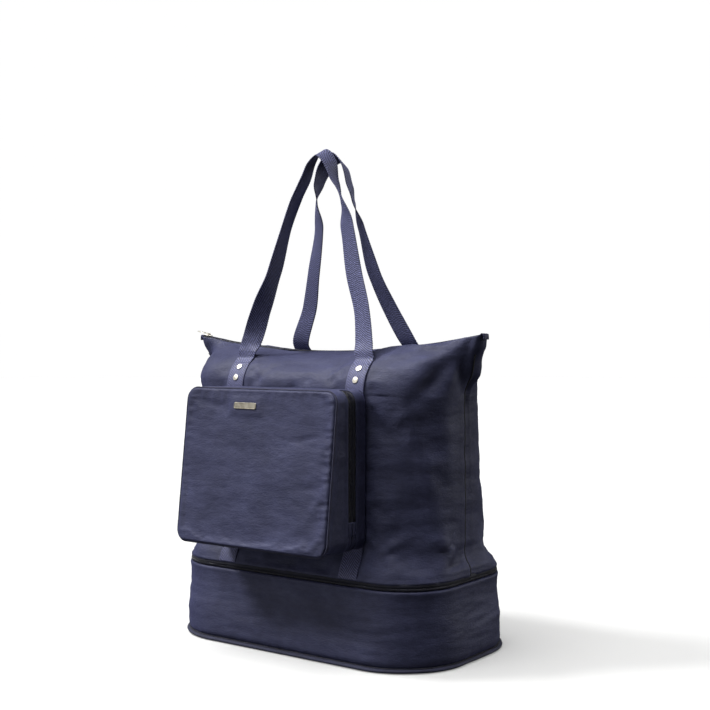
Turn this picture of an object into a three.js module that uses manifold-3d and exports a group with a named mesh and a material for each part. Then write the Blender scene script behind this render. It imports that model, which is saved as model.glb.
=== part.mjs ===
// Packable, expandable nylon tote bag: a zipped tote on an expansion band that drops down when
// the zip round its waist is opened, two webbing handles, and a zipped front pocket that the
// empty bag folds into. Millimetres: X to the bag's right, Y to its back, Z up, with the origin
// on the floor under the middle of the base. Every cloth part is a thin closed shell.
import * as THREE from "three";
import { mergeVertices } from "three/addons/utils/BufferGeometryUtils.js";
import Module from "manifold-3d";

const wasm = await Module();
wasm.setup();

// ---- Driving dimensions -------------------------------------------------------------------

const CLOTH = 1.2; // cloth and seam allowance
const WEBBING = 1.6; // webbing thickness
const GAP = 0.4; // between parts that touch on the real bag
const SEWN = 0.6; // height of sewn webbing above its panel

// Outline of the expander zip, seen from above. The base and the body's lower edge follow it.
const RING = { halfX: 238, halfY: 136, radius: 86 };
const TAPE = 1.0;
const TEETH = { width: 3, thickness: 2.4, slot: 1.6 };
const LOWER_TEETH_BASE = 8;
const UPPER_TEETH_BASE = 114;
const UPPER_TAPE_TOP = 127;

// Level sections of the body between the expander zip and the shoulders.
const SECTIONS = [
  { z: 118.5, halfX: 237, front: -135, back: 135, radius: 86 },
  { z: 170, halfX: 226, front: -118, back: 112, radius: 80 },
  { z: 385, halfX: 224, front: -117, back: 92, radius: 76 },
];
const LEVELS = [118.5, 128.5, 142, 156, 170, 280, 385];
const ROOF_STEPS = 10;
const ROOF_RISE = 45; // length of the shoulder's handle, straight up
const ROOF_RUN = 34; // length of the zip edge's handle, level

// The top zip sags on one large circle between the two wing tips.
const TOP_ZIP = { y: -20, tipX: 272, lowZ: 445, tipZ: 470, edgeMiddle: 14, edgeTip: 9 };
const TOP_RADIUS = (TOP_ZIP.tipX ** 2 + (TOP_ZIP.tipZ - TOP_ZIP.lowZ) ** 2) / (2 * (TOP_ZIP.tipZ - TOP_ZIP.lowZ));

// Webbing: four runs sewn up the body, and two loops that swing on the stitch line above the rivets.
const STRAP = { x: 114, width: 32, stitch: 0.37 };
const RIVETS = [0.15, 0.3]; // places up the roof, as a share of it
const RIVET = { cap: 4.8, capRise: 1.3, shank: 1.6, hole: 2.1, washer: 4.4, washerThick: 0.8 };
const HANDLE_STEPS = 44;
// Each loop: x, y, z of the webbing's middle, and the direction of its width in degrees from +X,
// seen from above. The turns are the half twists that the webbing takes on its way up.
const FRONT_LOOP = [
  [-111, -92, 446, 6],
  [-107, -86, 462, 26],
  [-97, -75, 511, 62],
  [-80, -65, 566, 88],
  [-63, -54, 639, 102],
  [-50, -47, 680, 100],
  [-35, -42, 712, 92],
  [-8, -40, 751, 90],
  [20, -42, 707, 112],
  [37, -47, 674, 130],
  [53, -54, 632, 160],
  [74, -65, 561, 169],
  [95, -75, 508, 166],
  [107, -86, 462, 172],
  [111, -92, 446, 178],
];
const BACK_LOOP = [
  [-110, 47, 444, 180],
  [-106, 34, 458, 176],
  [-79, 23, 513, 168],
  [-61, 11, 569, 161],
  [-45, 4, 640, 150],
  [-42, -6, 680, 130],
  [-37, -6, 708, 108],
  [-8, -3, 748, 90],
  [22, -6, 704, 100],
  [30, -6, 676, 118],
  [37, 4, 637, 142],
  [57, 11, 565, 160],
  [79, 23, 510, 168],
  [106, 34, 458, 172],
  [110, 47, 444, 180],
];
const APEX_TILT = 25; // degrees that each loop leans at its top, towards the other

// Front pocket: a rear half sewn to the body and a lid that hinges on its bottom edge.
const POCKET = {
  x: -4, halfX: 140, bottom: 165, top: 391, radius: 18, back: -122, hinge: -155,
  frontTop: -190, frontBottom: -216, zipEnd: 205, tape: 5,
};
const PLATE = { x: -26, z: 367, halfX: 21, halfZ: 4.6, radius: 2, thickness: 1 };

// Zip slider: two cheeks either side of the chain, joined by a neck that runs in the slot.
const SLIDER = { length: 15, width: 9, cheek: 1.4, inside: 1.7, neck: 0.9, lug: 1.2, pin: 0.7, eye: 1 };
const PULL = { length: 24, width: 7, thickness: 1.2, root: 3.2, lift: 1.9 };

// ---- Materials ----------------------------------------------------------------------------

const NYLON = new THREE.MeshStandardMaterial({ color: 0x34354b, roughness: 0.55, metalness: 0 });
const WEBBING_CLOTH = new THREE.MeshStandardMaterial({ color: 0x3c3d58, roughness: 0.7, metalness: 0 });
const ZIP_TAPE = new THREE.MeshStandardMaterial({ color: 0x1d1e2c, roughness: 0.85, metalness: 0 });
const ZIP_TEETH = new THREE.MeshStandardMaterial({ color: 0x17181f, roughness: 0.4, metalness: 0 });
const BINDING = new THREE.MeshStandardMaterial({ color: 0x242537, roughness: 0.8, metalness: 0 });
const METAL = new THREE.MeshStandardMaterial({ color: 0xd8d2c4, roughness: 0.25, metalness: 1 });

// ---- Tools --------------------------------------------------------------------------------

const bag = new THREE.Group();

function add(name, geometry, material) {
  const mesh = new THREE.Mesh(geometry, material);
  mesh.name = name;
  bag.add(mesh);
  return mesh;
}

// A closed geometry as a manifold solid, and back.
function toSolid(geometry) {
  const bare = geometry.clone();
  bare.deleteAttribute("normal");
  bare.deleteAttribute("uv");
  const merged = mergeVertices(bare, 1e-3);
  return new wasm.Manifold(
    new wasm.Mesh({
      numProp: 3,
      vertProperties: new Float32Array(merged.attributes.position.array),
      triVerts: new Uint32Array(merged.index.array),
    }),
  );
}

function toGeometry(solid) {
  const made = solid.getMesh();
  return closedGeometry([...made.vertProperties], [...made.triVerts]);
}

function closedGeometry(numbers, index) {
  const geometry = new THREE.BufferGeometry();
  geometry.setAttribute("position", new THREE.Float32BufferAttribute(numbers, 3));
  geometry.setIndex(index);
  geometry.computeVertexNormals();
  return geometry;
}

function joined(...geometries) {
  return toGeometry(geometries.map(toSolid).reduce((whole, piece) => whole.add(piece)));
}

function cut(geometry, ...tools) {
  return toGeometry(tools.map(toSolid).reduce((whole, tool) => whole.subtract(tool), toSolid(geometry)));
}

const mix = THREE.MathUtils.lerp;
const smooth = (t) => THREE.MathUtils.smoothstep(t, 0, 1);

// A sheet of even thickness. `outer` holds rows of points on its outer face: rows climb, and
// columns run so that across x up points out.
function shell(outer, thickness) {
  const rows = outer.length;
  const columns = outer[0].length;
  const outward = (i, j) => {
    const up = outer[Math.min(i + 1, rows - 1)][j].clone().sub(outer[Math.max(i - 1, 0)][j]);
    const across = outer[i][Math.min(j + 1, columns - 1)].clone().sub(outer[i][Math.max(j - 1, 0)]);
    return across.cross(up).normalize();
  };
  const numbers = outer.flatMap((row) => row.flatMap((p) => p.toArray()));
  outer.forEach((row, i) =>
    row.forEach((p, j) => numbers.push(...p.clone().addScaledVector(outward(i, j), -thickness).toArray())),
  );
  const index = [];
  const quad = (a, b, c, d) => index.push(a, b, c, a, c, d);
  const out = (i, j) => i * columns + j;
  const inn = (i, j) => rows * columns + i * columns + j;
  const lastRow = rows - 1;
  const lastColumn = columns - 1;
  for (let i = 0; i < lastRow; i++) {
    for (let j = 0; j < lastColumn; j++) {
      quad(out(i, j), out(i, j + 1), out(i + 1, j + 1), out(i + 1, j));
      quad(inn(i, j), inn(i + 1, j), inn(i + 1, j + 1), inn(i, j + 1));
    }
    quad(inn(i, 0), out(i, 0), out(i + 1, 0), inn(i + 1, 0));
    quad(out(i, lastColumn), inn(i, lastColumn), inn(i + 1, lastColumn), out(i + 1, lastColumn));
  }
  for (let j = 0; j < lastColumn; j++) {
    quad(inn(0, j), inn(0, j + 1), out(0, j + 1), out(0, j));
    quad(out(lastRow, j), out(lastRow, j + 1), inn(lastRow, j + 1), inn(lastRow, j));
  }
  return closedGeometry(numbers, index);
}

function roundedRect(Shape, halfX, halfY, radius) {
  const shape = new Shape();
  const x = halfX - radius;
  const y = halfY - radius;
  shape.absarc(x, -y, radius, -Math.PI / 2, 0);
  shape.absarc(x, y, radius, 0, Math.PI / 2);
  shape.absarc(-x, y, radius, Math.PI / 2, Math.PI);
  shape.absarc(-x, -y, radius, Math.PI, (3 * Math.PI) / 2);
  shape.closePath();
  return shape;
}

function box(sizeX, sizeY, sizeZ, x, y, z) {
  return new THREE.BoxGeometry(sizeX, sizeY, sizeZ).translate(x, y, z);
}

// ---- Base, expansion band and the expander zip ----------------------------------------------

// A band that follows RING, between two distances out from it and two heights.
function ringBand(inner, outer, low, high) {
  const shape = roundedRect(THREE.Shape, RING.halfX + outer, RING.halfY + outer, RING.radius + outer);
  shape.holes.push(roundedRect(THREE.Path, RING.halfX + inner, RING.halfY + inner, RING.radius + inner));
  const depth = high - low;
  return new THREE.ExtrudeGeometry(shape, { depth, bevelEnabled: false, curveSegments: 6 }).translate(0, 0, low);
}

function makeBase() {
  const edge = -TAPE / 2 - GAP;
  const panel = roundedRect(THREE.Shape, RING.halfX + edge, RING.halfY + edge, RING.radius + edge);
  const thickness = 1.5;
  const plate = new THREE.ExtrudeGeometry(panel, { depth: thickness, bevelEnabled: false, curveSegments: 6 });
  add("base_panel", plate, NYLON);
  add("base_piping", ringBand(TAPE / 2 + GAP, 3, 0, 4), BINDING);
  add("lower_zip_tape", ringBand(-TAPE / 2, TAPE / 2, 0, LOWER_TEETH_BASE - GAP), ZIP_TAPE);
  const teeth = TEETH.thickness / 2;
  add("lower_zip_teeth", ringBand(-teeth, teeth, LOWER_TEETH_BASE, LOWER_TEETH_BASE + TEETH.width), ZIP_TEETH);
  const wallOut = -4.5;
  add("expansion_wall", ringBand(wallOut - CLOTH, wallOut, thickness + GAP, 116), NYLON);
  const upperTop = UPPER_TEETH_BASE + TEETH.width;
  add("upper_zip_teeth", ringBand(-teeth, teeth, UPPER_TEETH_BASE, upperTop - GAP), ZIP_TEETH);
  add("upper_zip_tape", ringBand(-TAPE / 2, TAPE / 2, upperTop, UPPER_TAPE_TOP), ZIP_TAPE);
}

// ---- Body -----------------------------------------------------------------------------------

// side is "front" or "back".
const inwards = (side) => (side === "front" ? 1 : -1);

function sectionAt(z) {
  const above = Math.max(1, SECTIONS.findIndex((s) => s.z >= z));
  const [a, b] = [SECTIONS[above - 1], SECTIONS[above]];
  const t = smooth((z - a.z) / (b.z - a.z));
  const blended = Object.keys(a).map((key) => [key, mix(a[key], b[key], t)]);
  return { ...Object.fromEntries(blended), z };
}

// A point on the body's level section. reach goes from 0 at the middle of the panel through 1 and
// 2, the ends of its corner, to 3 at the seam down the middle of the side.
function sectionPoint(section, side, reach) {
  const { halfX, radius } = section;
  const face = section[side];
  const turn = inwards(side);
  if (reach <= 1) return new THREE.Vector3(reach * (halfX - radius), face, section.z);
  const angle = (Math.min(reach, 2) - 1) * (Math.PI / 2);
  const corner = face + turn * radius;
  const x = halfX - radius + radius * Math.sin(angle);
  const y = corner - turn * radius * Math.cos(angle);
  const seam = -turn * (GAP / 2 + 0.1);
  return new THREE.Vector3(x, reach > 2 ? mix(corner, seam, reach - 2) : y, section.z);
}

const zipHeight = (x) => TOP_ZIP.lowZ + TOP_RADIUS - Math.sqrt(TOP_RADIUS ** 2 - x ** 2);

// Distance from the zip's middle line to the panel's edge, which closes in towards the tips.
function zipEdge(x) {
  const share = THREE.MathUtils.smoothstep(Math.abs(x), 150, TOP_ZIP.tipX);
  return mix(TOP_ZIP.edgeMiddle, TOP_ZIP.edgeTip, share);
}

// The panel's curve from its shoulder up over the roof to the top zip.
function roofCurve(side, reach) {
  const shoulder = sectionAt(SECTIONS.at(-1).z);
  const start = sectionPoint(shoulder, side, reach);
  const straight = shoulder.halfX - shoulder.radius;
  const cornerLength = (Math.PI / 2) * shoulder.radius;
  const sideLength = Math.abs(shoulder[side]) - shoulder.radius;
  const walked = Math.max(0, Math.min(reach, 2) - 1) * cornerLength + Math.max(0, reach - 2) * sideLength;
  const wing = walked / (cornerLength + sideLength);
  const x = Math.min(reach, 1) * straight + wing * (TOP_ZIP.tipX - straight);
  const turn = inwards(side);
  const end = new THREE.Vector3(x, TOP_ZIP.y - turn * zipEdge(x), zipHeight(x));
  const rise = start.clone().add(new THREE.Vector3(0, 0, ROOF_RISE - 15 * wing));
  const level = end.clone().add(new THREE.Vector3(0, -turn * ROOF_RUN, 4));
  const fin = end.clone().lerp(start, 0.35);
  return new THREE.CubicBezierCurve3(start, rise, level.lerp(fin, wing), end);
}

// One column of a panel, bottom to top.
function panelColumn(side, reach) {
  const curve = roofCurve(side, reach);
  const low = LEVELS.map((z) => sectionPoint(sectionAt(z), side, reach));
  const high = Array.from({ length: ROOF_STEPS }, (_, k) => curve.getPoint((k + 1) / ROOF_STEPS));
  return [...low, ...high];
}

const mirrored = (p) => new THREE.Vector3(-p.x, p.y, p.z);

function panelRows(side) {
  const reaches = [];
  for (let k = 0; k <= 2; k++) reaches.push(k / 2);
  for (let k = 1; k <= 6; k++) reaches.push(1 + k / 6);
  for (let k = 1; k <= 2; k++) reaches.push(2 + k / 2);
  const right = reaches.map((reach) => panelColumn(side, reach));
  const left = right.slice(1).reverse().map((column) => column.map(mirrored));
  const columns = [...left, ...right];
  if (side === "back") columns.reverse();
  return columns[0].map((_, i) => columns.map((column) => column[i]));
}

// Middle line of a strap run on the body, and the outward direction there.
function strapPath(side, x) {
  const shoulder = SECTIONS.at(-1);
  const reach = x / (shoulder.halfX - shoulder.radius);
  const curve = roofCurve(side, reach);
  const places = LEVELS.slice(1).map((z) => sectionPoint(sectionAt(z), side, 0).setX(x));
  return { curve, places };
}

function outwardOnRoof(side, curve, t) {
  const up = curve.getTangent(t);
  return new THREE.Vector3(0, -inwards(side) * up.z, inwards(side) * up.y).normalize();
}

// Point on the roof under a strap, raised off the panel.
function raised(side, x, t, height) {
  const { curve } = strapPath(side, x);
  return curve.getPoint(t).addScaledVector(outwardOnRoof(side, curve, t), height);
}

// A tool or a fitting whose own Z points out of the panel at a rivet's place.
function onRivet(geometry, side, x, t) {
  const out = outwardOnRoof(side, strapPath(side, x).curve, t);
  const turn = new THREE.Quaternion().setFromUnitVectors(new THREE.Vector3(0, 0, 1), out);
  const place = raised(side, x, t, 0);
  return geometry.clone().applyQuaternion(turn).translate(place.x, place.y, place.z);
}

function rivetHoles(side, x) {
  const tool = new THREE.CylinderGeometry(RIVET.hole, RIVET.hole, 12, 12).rotateX(Math.PI / 2);
  return RIVETS.map((t) => onRivet(tool, side, x, t));
}

function strapRun(side, x) {
  const { places } = strapPath(side, x);
  const height = SEWN + WEBBING;
  const out = new THREE.Vector3(0, -inwards(side), 0);
  const middle = places.map((p) => p.clone().addScaledVector(out, height));
  const stop = STRAP.stitch - 0.011;
  for (let k = 1; k / ROOF_STEPS < stop; k++) middle.push(raised(side, x, k / ROOF_STEPS, height));
  middle.push(raised(side, x, stop, height));
  const half = (-inwards(side) * STRAP.width) / 2;
  const rows = middle.map((p) => [p.clone().setX(x + half), p.clone().setX(x - half)]);
  return cut(shell(rows, WEBBING), ...rivetHoles(side, x));
}

// One closed turned piece: washer inside the panel, shank, and domed cap on the webbing.
function rivetGeometry() {
  const under = -CLOTH - 1.6 * GAP;
  const top = SEWN + WEBBING + GAP;
  const profile = [
    [0, under - RIVET.washerThick],
    [RIVET.washer, under - RIVET.washerThick],
    [RIVET.washer, under],
    [RIVET.shank, under],
    [RIVET.shank, top],
    [RIVET.cap, top],
    [RIVET.cap * 0.8, top + RIVET.capRise * 0.7],
    [0, top + RIVET.capRise],
  ];
  const points = profile.map(([r, h]) => new THREE.Vector2(r, h));
  return new THREE.LatheGeometry(points, 12).rotateX(Math.PI / 2);
}

function makeBody() {
  for (const side of ["front", "back"]) {
    const holes = [-STRAP.x, STRAP.x].flatMap((x) => rivetHoles(side, x));
    add(`body_${side}_panel`, cut(shell(panelRows(side), CLOTH), ...holes), NYLON);
    for (const [label, x] of [["left", -STRAP.x], ["right", STRAP.x]]) {
      add(`strap_run_${side}_${label}`, strapRun(side, x), WEBBING_CLOTH);
      RIVETS.forEach((t, k) => {
        const place = k === 0 ? "lower" : "upper";
        add(`rivet_${side}_${label}_${place}`, onRivet(rivetGeometry(), side, x, t), METAL);
      });
    }
  }
  for (const [label, sign] of [["left", -1], ["right", 1]]) {
    const width = 10;
    const rows = LEVELS.slice(1).map((z) => {
      const x = sign * (sectionAt(z).halfX - CLOTH - GAP);
      return [new THREE.Vector3(x, (-sign * width) / 2, z), new THREE.Vector3(x, (sign * width) / 2, z)];
    });
    add(`side_binding_${label}`, shell(rows, CLOTH), BINDING);
  }
}

// ---- Top zip --------------------------------------------------------------------------------

// A strip along the top zip from one distance to another out from its middle line.
function topStrip(side, near, far, thickness) {
  const steps = 28;
  const end = TOP_ZIP.tipX - 0.8;
  const turn = inwards(side);
  const rows = Array.from({ length: steps + 1 }, (_, k) => {
    const x = mix(-end, end, k / steps);
    const edge = (distance) => new THREE.Vector3(x, TOP_ZIP.y - turn * distance, zipHeight(x) + thickness / 2);
    const pair = [edge(near), edge(typeof far === "function" ? far(x) : far)];
    return side === "front" ? pair : pair.reverse();
  });
  return shell(rows, thickness);
}

function makeTopZip() {
  const near = TEETH.slot / 2;
  const far = near + TEETH.width;
  for (const side of ["front", "back"]) {
    add(`top_zip_teeth_${side}`, topStrip(side, near, far, TEETH.thickness), ZIP_TEETH);
    const tapeEdge = (x) => zipEdge(x) - CLOTH - GAP;
    add(`top_zip_tape_${side}`, topStrip(side, far + GAP, tapeEdge, TAPE), ZIP_TAPE);
  }
  for (const [label, sign] of [["left", -1], ["right", 1]]) {
    const [thickness, width, height] = [2, 14, 14];
    const x = sign * (TOP_ZIP.tipX + GAP + thickness / 2);
    add(`top_zip_end_${label}`, box(thickness, width, height, x, TOP_ZIP.y, TOP_ZIP.tipZ + 1.5 - height / 2), ZIP_TAPE);
  }
}

// ---- Handles --------------------------------------------------------------------------------

function makeHandle(side, loop) {
  const root = (x) => raised(side, x, STRAP.stitch, SEWN + WEBBING / 2);
  const next = (x) => raised(side, x, STRAP.stitch + 0.08, 2 * SEWN + WEBBING / 2);
  const middle = loop.map(([x, y, z]) => new THREE.Vector3(x, y, z));
  const [first, last] = [-STRAP.x, STRAP.x];
  const points = [root(first), next(first), ...middle, next(last), root(last)];
  const flat = (p) => Math.round(p[3] / 180) * 180;
  const turns = [flat(loop[0]), flat(loop[0]), ...loop.map((p) => p[3]), flat(loop.at(-1)), flat(loop.at(-1))];
  const curve = new THREE.CatmullRomCurve3(points, false, "centripetal");
  const apexLean = THREE.MathUtils.degToRad(APEX_TILT) * inwards(side);
  const apexIndex = (points.length - 1) / 2;
  const rows = Array.from({ length: HANDLE_STEPS + 1 }, (_, k) => {
    const place = (k / HANDLE_STEPS) * (points.length - 1);
    const before = Math.min(Math.floor(place), points.length - 2);
    const turn = THREE.MathUtils.degToRad(mix(turns[before], turns[before + 1], smooth(place - before)));
    const centre = curve.getPoint(k / HANDLE_STEPS);
    const along = curve.getTangent(k / HANDLE_STEPS);
    const level = new THREE.Vector3(Math.cos(turn), Math.sin(turn), 0);
    level.addScaledVector(along, -level.dot(along)).normalize();
    const lean = apexLean * Math.max(0, 1 - Math.abs(place - apexIndex) / 2);
    level.applyAxisAngle(along, lean);
    const out = level.clone().cross(along).normalize().multiplyScalar(WEBBING / 2);
    return [centre.clone().addScaledVector(level, -STRAP.width / 2).add(out),
      centre.clone().addScaledVector(level, STRAP.width / 2).add(out)];
  });
  return add(`handle_${side}`, shell(rows, WEBBING), WEBBING_CLOTH);
}

// ---- Front pocket ---------------------------------------------------------------------------

const POCKET_MIDDLE = (POCKET.bottom + POCKET.top) / 2;
const POCKET_HALF_Z = (POCKET.top - POCKET.bottom) / 2;

function pocketFront(z) {
  return mix(POCKET.frontBottom, POCKET.frontTop, (z - POCKET.bottom) / (POCKET.top - POCKET.bottom));
}

// Turns an outline drawn in XY, with Y up, into a solid between two faces across Y. Each face is
// a y or a function of z.
function standing(shape, rearFace, frontFace) {
  const solid = new THREE.ExtrudeGeometry(shape, { depth: 1, bevelEnabled: false, curveSegments: 4 });
  solid.rotateX(Math.PI / 2).translate(POCKET.x, 0, POCKET_MIDDLE);
  const places = solid.attributes.position;
  const at = (face, z) => (typeof face === "function" ? face(z) : face);
  for (let k = 0; k < places.count; k++) {
    const z = places.getZ(k);
    places.setY(k, at(places.getY(k) > -0.5 ? rearFace : frontFace, z));
  }
  return solid;
}

function pocketOutline(Shape, inset) {
  return roundedRect(Shape, POCKET.halfX - inset, POCKET_HALF_Z - inset, POCKET.radius - inset);
}

// The pocket's edge band between two insets from its outline.
function pocketBand(outer, inner) {
  const shape = pocketOutline(THREE.Shape, outer);
  shape.holes.push(pocketOutline(THREE.Path, inner));
  return shape;
}

// The part of the edge band above or below the ends of the zip.
function splitBand(geometry, keep) {
  const depth = 400;
  const reach = 400;
  const below = box(reach, depth, reach, 0, POCKET.hinge, POCKET.zipEnd - reach / 2);
  const above = box(reach, depth, reach, 0, POCKET.hinge, POCKET.zipEnd - GAP + reach / 2);
  return cut(geometry, keep === "above" ? below : above);
}

function makePocket() {
  const nearTeeth = TEETH.slot / 2;
  const farTeeth = nearTeeth + TEETH.width;
  const nearTape = farTeeth + GAP;
  const farTape = nearTape + POCKET.tape;
  const bandStart = farTape + GAP;
  const hinge = POCKET.hinge;
  add("pocket_back_panel", standing(pocketOutline(THREE.Shape, 0), POCKET.back, POCKET.back - CLOTH), NYLON);
  const bandShape = pocketBand(0, CLOTH);
  const rearStart = POCKET.back - CLOTH - GAP;
  add("pocket_rear_band", standing(bandShape, rearStart, hinge + bandStart), NYLON);
  const frontBack = (z) => pocketFront(z) + CLOTH;
  add("pocket_front_band", standing(bandShape, hinge - bandStart, (z) => frontBack(z) + GAP), NYLON);
  add("pocket_front_panel", standing(pocketOutline(THREE.Shape, 0), frontBack, pocketFront), NYLON);

  const tapeInset = TEETH.thickness / 2;
  const tapeShape = pocketBand(tapeInset - TAPE / 2, tapeInset + TAPE / 2);
  const teethShape = pocketBand(0, TEETH.thickness);
  for (const [side, sign] of [["rear", 1], ["front", -1]]) {
    const tape = standing(tapeShape, hinge + sign * nearTape, hinge + sign * farTape);
    const teeth = standing(teethShape, hinge + sign * nearTeeth, hinge + sign * farTeeth);
    const strip = standing(bandShape, hinge + sign * 0.5, hinge + sign * farTape);
    if (sign > 0) [tape, teeth, strip].forEach(turnInsideOut);
    add(`pocket_zip_tape_${side}`, splitBand(tape, "above"), ZIP_TAPE);
    add(`pocket_zip_teeth_${side}`, splitBand(teeth, "above"), ZIP_TEETH);
    add(`pocket_hinge_strip_${side}`, splitBand(strip, "below"), NYLON);
  }

  const plate = roundedRect(THREE.Shape, PLATE.halfX, PLATE.halfZ, PLATE.radius);
  const face = (z) => pocketFront(z + PLATE.z - POCKET_MIDDLE) - GAP;
  const plateSolid = standing(plate, face, (z) => face(z) - PLATE.thickness);
  add("name_plate", plateSolid.translate(PLATE.x - POCKET.x, 0, PLATE.z - POCKET_MIDDLE), METAL);
}

// Reverses every face, for a solid whose rear and front were swapped.
function turnInsideOut(geometry) {
  const places = geometry.attributes.position;
  for (let k = 0; k < places.count; k += 3) {
    const [a, c] = [k, k + 2].map((v) => new THREE.Vector3().fromBufferAttribute(places, v));
    places.setXYZ(k, c.x, c.y, c.z);
    places.setXYZ(k + 2, a.x, a.y, a.z);
  }
}

// ---- Sliders and pulls ------------------------------------------------------------------------

const PIN_HEIGHT = SLIDER.inside + SLIDER.cheek + PULL.lift;

const pinTool = (radius, length) => new THREE.CylinderGeometry(radius, radius, length, 12);

// Chain along X, outside along Z, the slot at Y = 0.
function sliderGeometry() {
  const { length, width, cheek, inside, neck, lug } = SLIDER;
  const cheekMiddle = inside + cheek / 2;
  const lugHeight = PULL.lift + 1.4;
  const lugY = PULL.root / 2 + 0.3 + lug / 2;
  const ear = (sign) => {
    const block = box(4, lug, lugHeight + cheek / 2, 0, sign * lugY, inside + cheek / 2 + (lugHeight + cheek / 2) / 2);
    return cut(block, pinTool(SLIDER.eye, 4).translate(0, sign * lugY, 0).applyMatrix4(lifted()));
  };
  return joined(
    box(length, width, cheek, 0, 0, cheekMiddle),
    box(length, width, cheek, 0, 0, -cheekMiddle),
    box(5, neck, 2 * cheekMiddle, length / 2 - 2.5, 0, 0),
    ear(1),
    ear(-1),
  );
}

const lifted = () => new THREE.Matrix4().makeTranslation(0, 0, PIN_HEIGHT);

// The tab lies along +X from its pin, over the chain.
function pullGeometry() {
  const { length, width, thickness, root } = PULL;
  const neckLength = 5;
  const tab = roundedRect(THREE.Shape, (length - neckLength) / 2, width / 2, 2.5);
  const tabSolid = new THREE.ExtrudeGeometry(tab, { depth: thickness, bevelEnabled: false, curveSegments: 3 });
  tabSolid.translate(neckLength + (length - neckLength) / 2, 0, -thickness / 2);
  return joined(
    pinTool(SLIDER.pin, root + 2 * (SLIDER.lug + 0.3)),
    pinTool(1.1, root),
    box(neckLength + 1, root, thickness, (neckLength + 1) / 2, 0, 0),
    tabSolid,
  ).applyMatrix4(lifted());
}

// Places a slider and its pull: along is where the pull points, outside is away from the bag.
function addSlider(name, place, along, outside) {
  const frame = new THREE.Matrix4().makeBasis(along, outside.clone().cross(along), outside).setPosition(place);
  for (const [part, geometry] of [["slider", sliderGeometry()], ["pull", pullGeometry()]]) {
    const mesh = add(`${name}_${part}`, geometry, METAL);
    mesh.applyMatrix4(frame);
  }
}

function makeSliders() {
  const x = -262;
  const lean = Math.asin(x / TOP_RADIUS);
  const outboard = new THREE.Vector3(-Math.cos(lean), 0, -Math.sin(lean));
  const above = new THREE.Vector3(-Math.sin(lean), 0, Math.cos(lean));
  addSlider("top_zip", new THREE.Vector3(x, TOP_ZIP.y, zipHeight(x)), outboard, above);

  const sideX = POCKET.x - POCKET.halfX + TEETH.thickness / 2;
  const low = new THREE.Vector3(sideX, POCKET.hinge, POCKET.zipEnd + 12);
  addSlider("pocket_zip", low, new THREE.Vector3(0, 0, -1), new THREE.Vector3(-1, 0, 0));

  const slotZ = UPPER_TEETH_BASE - TEETH.slot / 2;
  const back = new THREE.Vector3(-100, RING.halfY, slotZ);
  addSlider("expander_zip", back, new THREE.Vector3(-1, 0, 0), new THREE.Vector3(0, 1, 0));
}

makeBase();
makeBody();
makeTopZip();
makeHandle("front", FRONT_LOOP);
makeHandle("back", BACK_LOOP);
makePocket();
makeSliders();

export default bag;
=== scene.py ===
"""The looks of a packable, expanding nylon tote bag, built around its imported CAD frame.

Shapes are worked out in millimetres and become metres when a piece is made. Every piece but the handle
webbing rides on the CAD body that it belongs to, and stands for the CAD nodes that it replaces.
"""
import math

import bpy
import numpy as np
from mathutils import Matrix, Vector, noise


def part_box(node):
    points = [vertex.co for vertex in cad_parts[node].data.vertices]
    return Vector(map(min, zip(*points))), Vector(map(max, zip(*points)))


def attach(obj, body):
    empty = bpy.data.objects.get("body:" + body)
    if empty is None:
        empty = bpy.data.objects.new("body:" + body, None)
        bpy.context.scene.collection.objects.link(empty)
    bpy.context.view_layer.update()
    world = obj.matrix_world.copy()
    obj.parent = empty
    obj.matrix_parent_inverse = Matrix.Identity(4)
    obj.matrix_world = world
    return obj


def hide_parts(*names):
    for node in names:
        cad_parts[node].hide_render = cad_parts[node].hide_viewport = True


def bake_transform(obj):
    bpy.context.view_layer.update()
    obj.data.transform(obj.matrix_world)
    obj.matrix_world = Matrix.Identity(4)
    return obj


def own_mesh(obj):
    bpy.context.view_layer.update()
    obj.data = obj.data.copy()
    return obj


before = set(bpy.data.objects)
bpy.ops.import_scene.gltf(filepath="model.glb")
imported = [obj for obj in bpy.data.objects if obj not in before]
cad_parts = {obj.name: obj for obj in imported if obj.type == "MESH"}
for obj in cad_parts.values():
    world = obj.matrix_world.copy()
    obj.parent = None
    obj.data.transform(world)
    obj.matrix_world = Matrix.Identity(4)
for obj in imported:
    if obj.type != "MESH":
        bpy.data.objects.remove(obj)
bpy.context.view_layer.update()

MM = 0.001


# ---- Sizes, from the frame ----------------------------------------------------------------------


def node_box(node):
    """Lowest and highest corner of a CAD node, in millimetres."""
    low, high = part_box(node)
    return np.array(low) / MM, np.array(high) / MM


def node_middle(node):
    low, high = node_box(node)
    return (low + high) / 2


SIDES = ("front", "back")
ENDS = (("left", -1), ("right", 1))

TAPE = 1.0
RING_X, RING_Y = node_box("upper_zip_tape")[1][:2] - TAPE / 2
RING_RADIUS = 86.0
ZIP_BAND_LOW = node_box("upper_zip_teeth")[0][2]
HEM = node_box("upper_zip_tape")[1][2] - 5.0
SHOULDER = node_box("side_binding_left")[1][2]
TIP_X = node_box("body_front_panel")[1][0]
ZIP_Y = node_middle("top_zip_end_left")[1]
ZIP_LOW, ZIP_TIP = 445.0, 470.0
ZIP_RADIUS = (TIP_X**2 + (ZIP_TIP - ZIP_LOW) ** 2) / (2 * (ZIP_TIP - ZIP_LOW))
EDGE_MIDDLE, EDGE_TIP = 14.0, 9.0
STRAP_X = node_middle("strap_run_front_right")[0]
STRAP_WIDTH, WEBBING, SEWN = 32.0, 1.6, 0.6

# Places on the roof's curve, from 0 at the shoulder to 1 at the top zip.
STITCH = 0.37
RIVETS = {"lower": 0.15, "upper": 0.3}

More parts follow.
